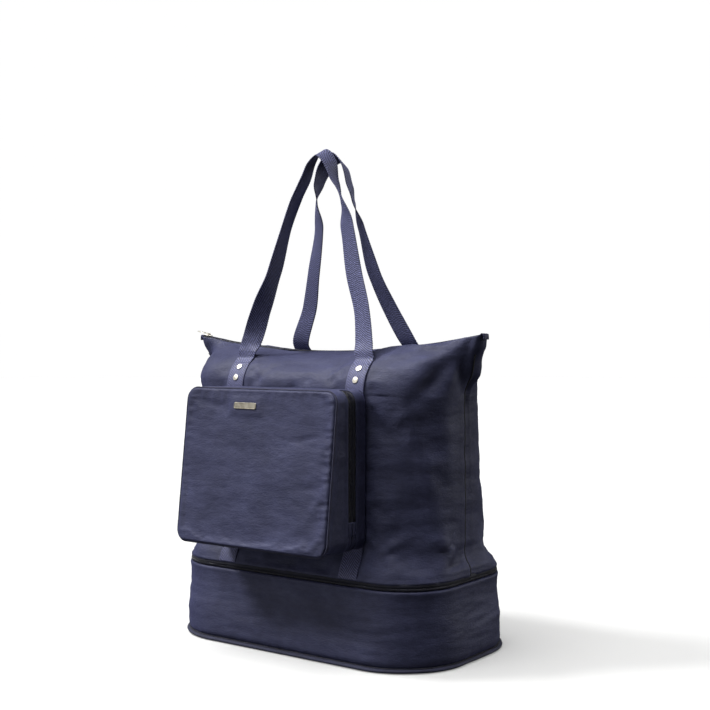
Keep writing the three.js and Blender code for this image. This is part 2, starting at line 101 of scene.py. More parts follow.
# Level sections of the body: height, half width, front, back and corner radius.
SECTIONS = [
    (118.5, 237.0, -135.0, 135.0, 86.0),
    (170.0, 226.0, -118.0, 112.0, 80.0),
    (SHOULDER, 224.0, -117.0, 92.0, 76.0),
]
ROOF_RISE, ROOF_RUN = 45.0, 34.0


# ---- Tools --------------------------------------------------------------------------------------


def mix(a, b, t):
    return a + (b - a) * t


def smooth(t):
    t = np.clip(t, 0.0, 1.0)
    return t * t * (3 - 2 * t)


def unit(v):
    return v / np.linalg.norm(v, axis=-1, keepdims=True)


def field(points, scale, seed=0.0):
    """Smooth noise from -1 to 1 at each point; scale is the size of its features along each axis."""
    shaped = np.asarray(points, float).reshape(-1, 3) / np.array(scale, float) + seed
    values = np.array([noise.noise(p) for p in shaped.tolist()])
    return values.reshape(np.asarray(points).shape[:-1])


def make_piece(name, points, faces, material, uv=None, flat=False):
    """A mesh object from points in millimetres."""
    mesh = bpy.data.meshes.new(name)
    mesh.from_pydata((np.asarray(points, float).reshape(-1, 3) * MM).tolist(), [], faces)
    mesh.polygons.foreach_set("use_smooth", [not flat] * len(mesh.polygons))
    if uv is not None:
        layer = mesh.uv_layers.new(name="weave")
        corner = np.zeros(len(mesh.loops), int)
        mesh.loops.foreach_get("vertex_index", corner)
        layer.data.foreach_set("uv", (np.asarray(uv, float)[corner] * MM).ravel())
    mesh.update()
    piece = bpy.data.objects.new(name, mesh)
    bpy.context.scene.collection.objects.link(piece)
    mesh.materials.append(material)
    return piece


def place(piece, body, slot, *nodes):
    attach(piece, body)
    if nodes:
        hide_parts(*nodes)
    return piece


def grid_faces(rows, columns, closed=False, start=0):
    """Faces of a grid whose columns run across and rows climb; closed joins last column to first."""
    faces = []
    for i in range(rows - 1):
        for j in range(columns if closed else columns - 1):
            k = (j + 1) % columns
            low, high = start + i * columns, start + (i + 1) * columns
            faces.append((low + j, low + k, high + k, high + j))
    return faces


def capped_faces(rows, columns, start=0):
    """Faces of a solid whose rows are closed sections, with both ends capped."""
    last = start + (rows - 1) * columns
    caps = [tuple(range(start, start + columns))[::-1], tuple(range(last, last + columns))]
    return grid_faces(rows, columns, True, start) + caps


def loft_piece(name, rows, material, uv=None, flat=False):
    """A solid from a grid whose rows are closed sections."""
    rows = np.asarray(rows, float)
    return make_piece(name, rows, capped_faces(*rows.shape[:2]), material, uv, flat)


def ring_piece(name, points, material):
    """A closed surface from a grid whose rows and columns both join round."""
    rows, columns = points.shape[:2]
    faces = grid_faces(rows, columns, True)
    last = (rows - 1) * columns
    faces += [(last + j, last + (j + 1) % columns, (j + 1) % columns, j) for j in range(columns)]
    return make_piece(name, points, faces, material)


def circle_points(steps):
    return [(math.cos(a), math.sin(a)) for a in np.arange(steps) / steps * 2 * math.pi]


def grid_normals(points, closed=False):
    """Unit normals of a grid, across times up."""
    up = np.gradient(points, axis=0)
    if closed:
        across = np.roll(points, -1, axis=1) - np.roll(points, 1, axis=1)
    else:
        across = np.gradient(points, axis=1)
    return unit(np.cross(across, up) + 1e-9)


def sheet_piece(name, points, material, closed=False, thickness=0.8):
    """A cloth sheet from a grid of points on its outer face."""
    piece = make_piece(name, points, grid_faces(*points.shape[:2], closed), material)
    thicken = piece.modifiers.new("thickness", "SOLIDIFY")
    thicken.thickness = thickness * MM
    thicken.offset = -1
    return piece


def travelled(points):
    """The distance walked along a line at each of its points."""
    return np.concatenate([[0], np.cumsum(np.linalg.norm(np.diff(points, axis=0), axis=1))])


def resampled(points, step):
    length = travelled(points)
    places = np.linspace(0, length[-1], max(2, int(length[-1] / step)) + 1)
    return np.stack([np.interp(places, length, points[:, a]) for a in range(points.shape[1])], axis=-1)


def solid_ribbon(name, rows, normals, thickness, material, crown=0.0):
    """A closed strip of webbing or tape. rows holds points across its upper face, one row for each
    step along it; normals point out of that face."""
    rows = np.asarray(rows, float)
    width = rows.shape[1]
    across = np.linspace(-1, 1, width)
    upper = rows + normals * crown * (1 - across**2)[None, :, None]
    lower = (rows - normals * thickness)[:, ::-1]
    reached = (across + 1) / 2 * np.linalg.norm(rows[0, -1] - rows[0, 0])
    reached = np.concatenate([reached, reached[::-1]])
    along = travelled(rows[:, width // 2])
    uv = np.stack(np.broadcast_arrays(reached[None, :], along[:, None]), axis=-1).reshape(-1, 2)
    return loft_piece(name, np.concatenate([upper, lower], axis=1), material, uv)


def bevelled(piece, width, segments=3, angle=35):
    bevel = piece.modifiers.new("edges", "BEVEL")
    bevel.width = width * MM
    bevel.segments = segments
    bevel.limit_method = "ANGLE"
    bevel.angle_limit = math.radians(angle)
    return piece


# ---- Materials ----------------------------------------------------------------------------------


def linear(colour):
    """An sRGB hex colour as linear RGBA."""
    parts = [((colour >> shift) & 255) / 255 for shift in (16, 8, 0)]
    return tuple(c / 12.92 if c <= 0.04045 else ((c + 0.055) / 1.055) ** 2.4 for c in parts) + (1.0,)


class Finish:
    """A Principled material with helpers that add procedural detail."""

    def __init__(self, name, roughness=0.5, metallic=0.0, **sockets):
        self.material = bpy.data.materials.new(name)
        self.material.use_nodes = True
        self.tree = self.material.node_tree
        self.shader = self.tree.nodes["Principled BSDF"]
        self.shader.inputs["Roughness"].default_value = roughness
        self.shader.inputs["Metallic"].default_value = metallic
        for socket, value in sockets.items():
            self.shader.inputs[socket.replace("_", " ")].default_value = value
        self.coordinates = self.tree.nodes.new("ShaderNodeTexCoord")
        self.normal = None

    def node(self, kind, **values):
        made = self.tree.nodes.new(kind)
        for key, value in values.items():
            setattr(made, key, value)
        return made

    def link(self, source, target):
        self.tree.links.new(source, target)

    def mapped(self, scale, space="Object", turn=(0, 0, 0)):
        mapping = self.node("ShaderNodeMapping")
        mapping.inputs["Scale"].default_value = scale
        mapping.inputs["Rotation"].default_value = turn
        self.link(self.coordinates.outputs[space], mapping.inputs["Vector"])
        return mapping.outputs["Vector"]

    def noise(self, scale, detail=3.0, roughness=0.55, distortion=0.0, space="Object", turn=(0, 0, 0)):
        made = self.node("ShaderNodeTexNoise")
        made.inputs["Scale"].default_value = 1.0
        made.inputs["Detail"].default_value = detail
        made.inputs["Roughness"].default_value = roughness
        made.inputs["Distortion"].default_value = distortion
        self.link(self.mapped(scale, space, turn), made.inputs["Vector"])
        return made.outputs["Fac"]

    def wave(self, scale, direction="X", distortion=0.0, space="UV", turn=(0, 0, 0)):
        made = self.node("ShaderNodeTexWave", wave_type="BANDS", bands_direction=direction)
        made.inputs["Scale"].default_value = 1.0
        made.inputs["Distortion"].default_value = distortion
        self.link(self.mapped(scale, space, turn), made.inputs["Vector"])
        return made.outputs["Fac"]

    def ramp(self, value, stops):
        made = self.node("ShaderNodeValToRGB")
        ramp = made.color_ramp
        while len(ramp.elements) < len(stops):
            ramp.elements.new(0.5)
        for element, (position, colour) in zip(ramp.elements, stops):
            element.position = position
            element.color = colour
        self.link(value, made.inputs["Fac"])
        return made.outputs["Color"]

    def mixed(self, first, second, share=0.5, blend="MIX"):
        made = self.node("ShaderNodeMix", data_type="RGBA", blend_type=blend)
        if hasattr(share, "links"):
            self.link(share, made.inputs["Factor"])
        else:
            made.inputs["Factor"].default_value = share
        self.link(first, made.inputs["A"])
        self.link(second, made.inputs["B"])
        return made.outputs["Result"]

    def bump(self, height, distance, strength=1.0):
        made = self.node("ShaderNodeBump")
        made.inputs["Distance"].default_value = distance * MM
        made.inputs["Strength"].default_value = strength
        self.link(height, made.inputs["Height"])
        if self.normal is not None:
            self.link(self.normal, made.inputs["Normal"])
        self.normal = made.outputs["Normal"]
        self.link(self.normal, self.shader.inputs["Normal"])

    def colour(self, value):
        self.link(value, self.shader.inputs["Base Color"])

    def roughness(self, value, low, high):
        grey = [(0.25, (low,) * 3 + (1,)), (0.75, (high,) * 3 + (1,))]
        self.link(self.ramp(value, grey), self.shader.inputs["Roughness"])


def crinkled_nylon(name, dark, middle, light):
    """Washed nylon: fine level creases in two sizes, soft blotches, and a plain weave. The larger creases
    are also painted into the colour: painted shade in their hollows and painted light on their crests.
    """
    finish = Finish(name, Sheen_Weight=0.16, Sheen_Roughness=0.5, Specular_IOR_Level=0.22)
    finish.shader.inputs["Sheen Tint"].default_value = linear(0x8487CC)
    creases = finish.noise((66, 66, 150), 6.0, 0.72, 0.15)
    fine = finish.noise((170, 170, 460), 4.0, 0.65, 0.2)
    blotches = finish.noise((15, 15, 18), 4.0, 0.6)
    weave = finish.noise((1500, 1500, 1500), 1.0)
    tone = finish.ramp(blotches, [(0.3, linear(dark)), (0.55, linear(middle)), (0.78, linear(light))])
    # Painted shade and light: the crease noise that drives the bump also darkens the colour in the hollows
    # and lightens it on the crests.
    stops = [(0.36, (0.86, 0.86, 0.87, 1)), (0.55, (1, 1, 1, 1)), (0.72, (1.2, 1.2, 1.22, 1))]
    crease_shade = finish.ramp(creases, stops)
    specks = finish.ramp(weave, [(0.35, (0.86, 0.86, 0.88, 1)), (0.7, (1.1, 1.1, 1.1, 1))])
    tone = finish.mixed(tone, crease_shade, 0.8, "MULTIPLY")
    finish.colour(finish.mixed(tone, specks, 0.8, "MULTIPLY"))
    finish.roughness(fine, 0.48, 0.66)
    finish.bump(creases, 0.95, 0.7)
    finish.bump(fine, 0.6, 0.8)
    finish.bump(weave, 0.06, 0.5)
    return finish.material


def twill_webbing():
    finish = Finish("webbing", Sheen_Weight=0.3, Sheen_Roughness=0.4, Specular_IOR_Level=0.4)
    finish.shader.inputs["Sheen Tint"].default_value = linear(0xA7A9D0)
    twill = finish.wave((175, 175, 175), "DIAGONAL", 0.6)
    grain_and_glints = finish.noise((420, 300, 1), 2.0, 0.6, 0.0, "UV")
    # Twill pattern with painted highlights: the lightest colour sits where the twill bump is highest, on
    # the thread tops.
    tone = finish.ramp(twill, [(0.1, linear(0x2E2F4A)), (0.6, linear(0x4B4D6E)), (0.95, linear(0x696C95))])
    # Painted glints: the grain brightens the colour up to 1.7 times in small specks, standing in for light
    # catching the threads.
    stops = [(0.3, (0.6, 0.6, 0.64, 1)), (0.55, (1, 1, 1, 1)), (0.75, (1.7, 1.7, 1.75, 1))]
    specks = finish.ramp(grain_and_glints, stops)
    finish.colour(finish.mixed(tone, specks, 0.85, "MULTIPLY"))
    finish.roughness(grain_and_glints, 0.45, 0.7)
    finish.bump(twill, 0.22, 0.7)
    finish.bump(grain_and_glints, 0.2, 0.6)
    return finish.material


def woven_tape(name, colour, light):
    finish = Finish(name, Specular_IOR_Level=0.35, Sheen_Weight=0.08)
    ribs = finish.noise((900, 900, 900), 2.0)
    patches = finish.noise((40, 40, 60), 3.0)
    tone = finish.ramp(patches, [(0.3, linear(colour)), (0.75, linear(light))])
    specks = finish.ramp(ribs, [(0.35, (0.75, 0.75, 0.78, 1)), (0.7, (1.2, 1.2, 1.2, 1))])
    finish.colour(finish.mixed(tone, specks, 0.8, "MULTIPLY"))
    finish.roughness(ribs, 0.65, 0.85)
    finish.bump(ribs, 0.15, 0.7)
    return finish.material


def coil_plastic():
    finish = Finish("zip_coil", Specular_IOR_Level=0.5)
    wear = finish.noise((300, 300, 300), 2.0)
    finish.colour(finish.ramp(wear, [(0.3, linear(0x0D0E18)), (0.75, linear(0x1F2033))]))
    finish.roughness(wear, 0.3, 0.5)
    return finish.material


def nickel(name, dark, light):
    finish = Finish(name, metallic=0.72)
    scratches = finish.noise((260, 90, 420), 4.0, 0.7)
    stains = finish.noise((120, 120, 120), 3.0)
    finish.colour(finish.ramp(stains, [(0.3, linear(dark)), (0.7, linear(light))]))
    finish.roughness(scratches, 0.3, 0.46)
    finish.bump(scratches, 0.04, 0.5)
    return finish.material


def thread():
    finish = Finish("thread", Sheen_Weight=0.2)
    strands = finish.noise((1500, 1500, 1500), 2.0)
    finish.colour(finish.ramp(strands, [(0.3, linear(0x2A2B42)), (0.7, linear(0x4A4C70))]))
    finish.roughness(strands, 0.5, 0.7)
    return finish.material


NYLON = crinkled_nylon("nylon", 0x32344A, 0x3A3C55, 0x444762)
# A darker copy of the nylon: painted shade for the inside of the pocket.
SHADED_NYLON = crinkled_nylon("nylon_painted_shade", 0x21223A, 0x292A42, 0x30314B)
WEBBING_CLOTH = twill_webbing()
ZIP_TAPE = woven_tape("zip_tape", 0x12131F, 0x1D1E30)
BINDING = woven_tape("binding", 0x1F2034, 0x2E2F49)
# Near-black cloth for the strips down the side seams: painted shade for the seam's gap.
SEAM_SHADE = woven_tape("seam_painted_shade", 0x07080C, 0x101118)
COIL = coil_plastic()
METAL = nickel("nickel", 0xC9C3B4, 0xEDE9DE)
PLATE_METAL = nickel("antique_nickel", 0x7C776A, 0xA8A294)
THREAD = thread()


# ---- Outlines -----------------------------------------------------------------------------------


def rounded_outline(half_x, half_y, radius, straight_x, arc, straight_y):
    """Points and outward normals round a rounded rectangle, anticlockwise from the front's left
    corner, with the given number of steps on each stretch, so outlines of any size match up."""
    cx, cy = half_x - radius, half_y - radius
    points, normals = [], []

    def straight(a, b, normal, steps):
        for t in np.arange(steps) / steps:
            points.append(mix(np.array(a), np.array(b), t))
            normals.append(normal)

    def corner(x, y, start):
        for t in np.arange(arc) / arc:
            angle = start + t * math.pi / 2
            normal = (math.cos(angle), math.sin(angle))
            points.append(np.array([x + radius * normal[0], y + radius * normal[1]]))
            normals.append(normal)

    straight((-cx, -half_y), (cx, -half_y), (0, -1), straight_x)
    corner(cx, -cy, -math.pi / 2)
    straight((half_x, -cy), (half_x, cy), (1, 0), straight_y)
    corner(cx, cy, 0)
    straight((cx, half_y), (-cx, half_y), (0, 1), straight_x)
    corner(-cx, cy, math.pi / 2)
    straight((-half_x, cy), (-half_x, -cy), (-1, 0), straight_y)
    corner(-cx, -cy, math.pi)
    return np.array(points), np.array(normals)


RING_STEPS = (44, 20, 16)


def ring_row(offset, z, spread=0.0):
    """One level row round the bag, offset out from the expander zip; spread rounds the corners more."""
    radius = RING_RADIUS + offset + spread
    points, _ = rounded_outline(RING_X + offset, RING_Y + offset, radius, *RING_STEPS)
    return np.column_stack([points, np.full(len(points), z)])


def ring_loft(profile):
    """Rows round the bag through (offset, z, spread) places."""
    return np.array([ring_row(*stop) for stop in profile])


# ---- Body ---------------------------------------------------------------------------------------


def inwards(side):
    return 1.0 if side == "front" else -1.0


def section_at(z):
    above = next((k for k in range(1, len(SECTIONS)) if SECTIONS[k][0] >= z), len(SECTIONS) - 1)
    a, b = SECTIONS[above - 1], SECTIONS[above]
    t = float(smooth((z - a[0]) / (b[0] - a[0])))
    return tuple(mix(p, q, t) for p, q in zip(a[1:], b[1:]))


def section_point(z, side, reach):
    """A point on a level section: reach 0 is the panel's middle, 1 and 2 the ends of its corner, and
    3 the seam down the middle of the bag's side."""
    half_x, front, back, radius = section_at(z)
    face = front if side == "front" else back
    turn = inwards(side)
    if reach <= 1:
        return np.array([reach * (half_x - radius), face, z])
    angle = (min(reach, 2) - 1) * math.pi / 2
    corner = face + turn * radius
    x = half_x - radius + radius * math.sin(angle)
    y = corner - turn * radius * math.cos(angle)
    return np.array([x, mix(corner, 0.0, reach - 2) if reach > 2 else y, z])


def zip_height(x):
    return ZIP_LOW + ZIP_RADIUS - np.sqrt(ZIP_RADIUS**2 - np.asarray(x, float) ** 2)


def zip_edge(x):
    return mix(EDGE_MIDDLE, EDGE_TIP, smooth((np.abs(x) - 150) / (TIP_X - 150)))


def bezier(points, t):
    a, b, c, d = points
    return a * (1 - t) ** 3 + 3 * b * t * (1 - t) ** 2 + 3 * c * t**2 * (1 - t) + d * t**3


def bezier_tangent(points, t):
    a, b, c, d = points
    return unit((b - a) * (1 - t) ** 2 + 2 * (c - b) * t * (1 - t) + (d - c) * t**2)


def roof_curve(side, reach):
    """Control points of the panel's curve from its shoulder up over the roof to the top zip."""
    half_x, front, back, radius = section_at(SHOULDER)
    face = front if side == "front" else back
    start = section_point(SHOULDER, side, reach)
    straight = half_x - radius
    corner_length = math.pi / 2 * radius
    side_length = abs(face) - radius
    walked = max(0, min(reach, 2) - 1) * corner_length + max(0, reach - 2) * side_length
    wing = walked / (corner_length + side_length)
    x = min(reach, 1) * straight + wing * (TIP_X - straight)
    turn = inwards(side)
    end = np.array([x, ZIP_Y - turn * zip_edge(x), zip_height(x)])
    rise = start + np.array([0, 0, ROOF_RISE - 15 * wing])
    level = end + np.array([0, -turn * ROOF_RUN, 4])
    fin = mix(end, start, 0.35)
    return start, rise, mix(level, fin, wing), end


def body_reaches(side):
    """Places across half a panel, about 6 mm apart."""
    last = 8 if side == "front" else 4
    return np.concatenate([np.linspace(0, 1, 26)[:-1], np.linspace(1, 2, 21)[:-1], np.linspace(2, 3, last)])


BODY_LOW_STEP = 2.6
ROOF_ROWS = 40


def body_grid():
    """The body's smooth outer face as a closed grid, with each column's side and reach."""
    heights = np.arange(HEM, SHOULDER, BODY_LOW_STEP)
    columns, labels = [], []
    for side in ("front", "back"):
        reaches = body_reaches(side)
        half = []
        for reach in reaches:
            curve = roof_curve(side, reach)
            low = [section_point(z, side, reach) for z in heights]
            high = [bezier(curve, t) for t in np.arange(0, ROOF_ROWS + 1) / ROOF_ROWS]
            half.append(np.array(low + high))
        flip = np.array([-1, 1, 1])
        left = [(column * flip, -reach) for column, reach in zip(half[:0:-1], reaches[:0:-1])]
        right = list(zip(half, reaches))
        ordered = left + right if side == "front" else (left + right)[::-1]
        columns += [column for column, _ in ordered]
        labels += [(side, reach) for _, reach in ordered]
    return np.array(columns).transpose(1, 0, 2), labels


def dent(points, centre, size, depth):
    """An inward push of at most depth, spread over size millimetres along each axis."""
    away = (points - np.array(centre)) / np.array(size, float)
    return -depth * np.exp(-(away**2).sum(-1))


def crease(points, start, end, width, depth):
    """A soft groove, or a ridge where depth is negative, along a line from start to end."""
    a, b = np.array(start, float), np.array(end, float)
    along = np.clip(((points - a) @ (b - a)) / ((b - a) @ (b - a)), 0, 1)
    away = np.linalg.norm(points - a - along[..., None] * (b - a), axis=-1)
    fade = 0.35 + 0.65 * np.sin(math.pi * np.clip(along, 0.02, 0.98))
    return -depth * fade * np.exp(-((away / width) ** 2))


CLOTH = {
    "quality": 5,
    "mass": 0.12,
    "tension_stiffness": 20,
    "compression_stiffness": 20,
    "shear_stiffness": 8,
    "bending_stiffness": 0.35,
    "air_damping": 3,
}


def simulated(points, pinned, closed, slack, pressure, gravity, frames, cap):
    """How far cloth on this grid moves when it has some slack, as a grid of moves in millimetres.
    pinned is a grid that says what is sewn down, and cap is the longest move."""
    piece = make_piece("cloth_trial", points, grid_faces(*points.shape[:2], closed), NYLON)
    group = piece.vertex_groups.new(name="sewn")
    group.add([int(k) for k in np.flatnonzero(pinned.ravel())], 1.0, "REPLACE")
    cloth = piece.modifiers.new("Cloth", "CLOTH")
    settings = cloth.settings
    for key, value in CLOTH.items():
        setattr(settings, key, value)
    settings.vertex_group_mass = group.name
    settings.shrink_min = -slack
    settings.use_pressure = pressure != 0
    settings.uniform_pressure_force = pressure
    settings.effector_weights.gravity = gravity
    cloth.collision_settings.use_collision = False
    cloth.point_cache.frame_start, cloth.point_cache.frame_end = 1, frames
    scene = bpy.context.scene
    for step in range(1, frames + 1):
        scene.frame_set(step)
    shaped = piece.evaluated_get(bpy.context.evaluated_depsgraph_get()).to_mesh()
    found = np.zeros(len(shaped.vertices) * 3)
    shaped.vertices.foreach_get("co", found)
    scene.frame_set(1)
    bpy.data.objects.remove(piece)
    moves = found.reshape(points.shape) / MM - points
    length = np.linalg.norm(moves, axis=-1, keepdims=True)
    return moves * (cap * np.tanh(length / cap) / np.maximum(length, 1e-6))


def every(step, count):
    """Every step-th index of count, and the last one."""
    return np.unique(np.append(np.arange(0, count, step), count - 1))


def spread_moves(moves, row_places, column_places, shape, closed=False):
    """Moves found on a coarse grid, at every row and column of the fine one."""
    rows, columns = shape[:2]
    if closed:
        moves = np.concatenate([moves, moves[:, :1]], axis=1)
        column_places = np.append(column_places, columns)
    tall = np.array([[np.interp(np.arange(rows), row_places, moves[:, j, a]) for a in range(3)]
                     for j in range(moves.shape[1])]).transpose(2, 0, 1)
    wide = np.array([[np.interp(np.arange(columns), column_places, tall[i, :, a]) for a in range(3)]
                     for i in range(rows)])
    return wide.transpose(0, 2, 1)


# Folds in the body's cloth: both ends, width, depth, and how far the side seam holds it.
WING_FOLDS = [
    ((238, -36, 440), (224, -14, 392), 16, 9, 0.2),
    ((254, -38, 450), (202, -88, 380), 12, 11, 0),
    ((250, -36, 464), (192, -82, 426), 9, -5, 0),
    ((226, 8, 400), (240, 2, 424), 7, -5, 0),
]
FRONT_FOLDS = [
    ((196, -108, 300), (216, -88, 205), 12, 3),
    ((152, -118, 352), (188, -112, 300), 11, 2.5),
    ((210, -98, 372), (170, -116, 338), 8, -2),
    ((205, -98, 190), (160, -120, 165), 8, -2.5),
]
POCKET_FOLDS = [
    ((120, -200, 330), (60, -196, 318), 5, 1.4),
    ((128, -200, 262), (70, -203, 250), 6, 1.6),
    ((-120, -190, 372), (-60, -192, 362), 6, 1.5),
]
FLARE_Z = 166.0


def settled_body(points, labels):
    """The body's grid after its cloth has sagged between what is sewn down."""
    row_places = every(4, len(points))
    column_places = np.arange(0, points.shape[1], 2)
    coarse = points[row_places][:, column_places]
    x, z = coarse[..., 0], coarse[..., 2]
    front = np.array([labels[k][0] == "front" for k in column_places])[None, :]
    under_strap = (np.abs(np.abs(x) - STRAP_X) < STRAP_WIDTH / 2 + 3) & (z < 440)
    behind_pocket = front & (x > POCKET_LOW[0] + 6) & (x < POCKET_HIGH[0] - 6)
    behind_pocket &= (z > POCKET_LOW[2] + 7) & (z < POCKET_HIGH[2] - 7)
    edges = np.zeros(x.shape, bool)
    edges[[0, -1]] = True
    pinned = edges | under_strap | behind_pocket
    moves = simulated(coarse, pinned, True, slack=0.015, pressure=0.5, gravity=0.8, frames=24, cap=4.5)
    return points + spread_moves(moves, row_places, column_places, points.shape, closed=True)


def side_seams(points, labels):
    """A near-black strip over the seam where the front and back panels meet down each side: painted shade
    for the seam's gap and groove.
    """
    normals = grid_normals(points, True)
    for label, sign in ENDS:
        column = next(k for k, (side, reach) in enumerate(labels)
                      if side == "front" and abs(reach - 3 * sign) < 1e-6)
        beside = column - sign
        middle = mix(points[:-12, column], points[:-12, beside], 0.55)
        out = unit(normals[:-12, column] + normals[:-12, beside])
        spread = np.linspace(-1.5, 1.5, 4) * sign
        rows = middle[:, None] + np.array([0, 1.0, 0]) * spread[None, :, None] + out[:, None] * 0.7
        rows[..., 0] += 0.3 * field(rows, (9, 9, 16), 2.0)
        piece = solid_ribbon(f"side_seam_{label}", rows, out[:, None], 1.0, SEAM_SHADE, crown=0.3)
        place(piece, "bag_body", "binding")


def body_cloth():
    smooth_points, labels = body_grid()
    points = settled_body(smooth_points, labels)
    normals = grid_normals(points, True)
    x, y, z = points[..., 0], points[..., 1], points[..., 2]
    reach = np.array([abs(r) for _, r in labels])[None, :]
    front = np.array([side == "front" for side, _ in labels])[None, :]

    near_strap = np.exp(-((np.maximum(np.abs(np.abs(x) - STRAP_X) - 15, 0) / 7) ** 2)) * (z < 432)
    past_low, past_high = points - POCKET_LOW, POCKET_HIGH - points
    pocket_x = np.clip((past_low[..., 0] + 6) / 12, 0, 1) * np.clip((past_high[..., 0] + 6) / 12, 0, 1)
    pocket_z = np.clip((past_low[..., 2] + 7) / 12, 0, 1) * np.clip((past_high[..., 2] + 5) / 12, 0, 1)
    near_pocket = front * pocket_x * pocket_z
    near_hem = np.exp(-(((z - HEM) / 5) ** 2))
    loose = (1 - 0.9 * near_strap) * (1 - near_pocket) * (1 - 0.7 * near_hem)

    wide = 2.2 * field(points, (90, 90, 45), 3.1) + 1.4 * field(points, (50, 50, 24), 7.7)
    level = 0.6 * field(points, (46, 46, 19), 12.4) + 0.4 * field(points, (32, 32, 7), 1.9)
    roof = smooth((z - SHOULDER) / 30)
    upright = 1.5 * field(points, (9, 9, 70), 5.5) * np.exp(-(((z - HEM) / 22) ** 2))
    height = loose * (wide + level * (1 - 0.3 * roof) + upright)

    seam = np.exp(-(((3 - reach) * 20 / 2.2) ** 2))
    height += -3.0 * seam + 1.4 * np.exp(-((((3 - reach) * 20 - 5) / 2.5) ** 2))
    height += 2.2 * near_hem
    height += 4.5 * smooth((reach - 1.2) / 0.8) * np.exp(-(((z - FLARE_Z) / 20) ** 2))
    for sign in (-1, 1):
        mirror = np.array([sign, 1, 1])
        for start, end, width, depth, held in WING_FOLDS:
            height += crease(points, start * mirror, end * mirror, width, depth) * (1 - held * seam)
        height -= dent(points, (sign * 242, ZIP_Y, 418), (26, 60, 34), 10)
        height -= dent(points, (sign * 264, ZIP_Y, 452), (16, 40, 13), 6)
    height -= dent(points, (-205, -88, 408), (42, 42, 36), 10)
    for fold in FRONT_FOLDS:
        height += crease(points, *fold)
    points = points + normals * height[..., None]
    piece = sheet_piece("body_cloth", points, NYLON, closed=True, thickness=0.9)
    return place(piece, "bag_body", "nylon", "body_front_panel", "body_back_panel"), points, labels


# ---- Expansion band, base and the expander zip --------------------------------------------------


def expansion_cloth():
    """The band between the zip's halves: flared at the foot, with its top edge folded in."""
    top = ZIP_BAND_LOW - 1.0
    places = [(1.0, 6.5, 6), (6.5, 8.0, 10), (9.0, 11.0, 12), (10.0, 16.0, 13)]
    for z in np.arange(19, 102, 2.8):
        share = (z - 16) / (102 - 16)
        places.append((mix(10.0, 1.6, smooth(share)), z, mix(13, 1, share)))
    places += [(1.6, 104, 0), (2.0, 107, 0), (2.3, 109.5, 0)]
    places += [(1.8, 111.4, 0), (0.2, 112.4, 0), (-4.0, top, 0)]
    points = ring_loft(places)
    normals = grid_normals(points, True)
    z = points[..., 2]
    middle = np.sin(math.pi * np.clip((z - 8) / 104, 0, 1)) ** 0.7
    height = middle * (1.8 * field(points, (80, 80, 40), 21.0) + 1.0 * field(points, (52, 52, 9), 4.0))
    height += middle * 0.5 * field(points, (30, 30, 5), 9.0)
    height += 0.9 * field(points, (7, 7, 60), 2.0) * np.exp(-(((z - 14) / 9) ** 2))
    height += 0.7 * field(points, (8, 8, 60), 6.0) * np.exp(-(((z - 100) / 8) ** 2))
    piece = sheet_piece("expansion_cloth", points + normals * height[..., None], NYLON, True, 0.8)
    place(piece, "base", "nylon", "expansion_wall")
    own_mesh(piece)
    return piece


def section_ring(name, outline, material, wobble=0.0, seed=0.0):
    """A closed band round the bag whose section is a closed loop of (offset, z, spread) places."""
    points = ring_loft(outline)
    if wobble:
        shift = wobble * field(points[:1].repeat(len(points), 0), (60, 60, 60), seed)
        points[..., :2] *= 1 + (shift / 240)[..., None]
        points[..., 2] += np.abs(shift) * 0.5
    return ring_piece(name, points, material)


def round_section(offset, z, radius_out, radius_up, spread, steps=12):
    """A closed oval loop of section places, anticlockwise so that its faces point out."""
    angles = -np.arange(steps) / steps * 2 * math.pi
    return [(offset + radius_out * math.cos(a), z - radius_up * math.sin(a), spread) for a in angles]


def base_pieces():
    rows = ring_loft([(-6, 0.05), (-2.6, 0.15), (-2, 0.9), (-2.6, 1.6), (-4, 1.8), (-6, 1.8)])
    place(loft_piece("base_cloth", rows, NYLON), "base", "nylon", "base_panel")

    lip = section_ring("base_lip", round_section(7.0, 3.4, 5.2, 3.0, 10), BINDING, 1.2, 4.0)
    place(lip, "base", "binding", "base_piping")
    fold = section_ring("base_fold", round_section(6.0, 6.9, 2.4, 0.8, 9), ZIP_TAPE)
    place(fold, "base", "zip_tape", "lower_zip_tape")


def flat_ring(name, out, low, high, material):
    half = TAPE / 2
    outline = [(out + half, low, 0), (out + half, high, 0), (out - half, high, 0), (out - half, low, 0)]
    return section_ring(name, outline[::-1], material)


def tooth_row(name, places, across, out, pitch, reach, material, height=1.1, near=-0.25):
    """A row of coil loops along a path. places are points on the slot's middle line, across points
    from there into the tape, and out is away from the bag."""
    walked = travelled(places)
    count = int(walked[-1] / pitch)
    spots = (np.arange(count) + 0.5) * walked[-1] / count

    def at(values):
        return np.stack([np.interp(spots, walked, values[:, a]) for a in range(3)], axis=-1)

    centre, side, up = at(places), unit(at(across)), unit(at(out))
    along = np.cross(side, up)
    verts, faces = [], []
    section = circle_points(6)
    slices = [(near, 0.45, 0.7), (near + 0.7, 0.55, 1.0), (reach - 0.8, 0.5, 0.9), (reach, 0.35, 0.5)]
    for c, s, u, f in zip(centre, side, up, along):
        loop = capped_faces(len(slices), len(section), len(verts))
        faces += [(face[0], *face[:0:-1]) for face in loop]
        for distance, wide, tall in slices:
            for a, b in section:
                verts.append(c + s * distance + f * a * wide * pitch * 0.9 + u * b * tall * height)
    return make_piece(name, verts, faces, material)


def ring_teeth(name, z, direction, body, node):
    row = ring_row(0, z)
    row = np.vstack([row, row[:1]])
    _, normals = rounded_outline(RING_X, RING_Y, RING_RADIUS, *RING_STEPS)
    out = np.column_stack([normals, np.zeros(len(normals))])
    out = np.vstack([out, out[:1]])
    across = np.tile([0.0, 0.0, direction], (len(row), 1))
    place(tooth_row(name, row, across, out, 1.7, 3.2, COIL), body, "zip_teeth", node)


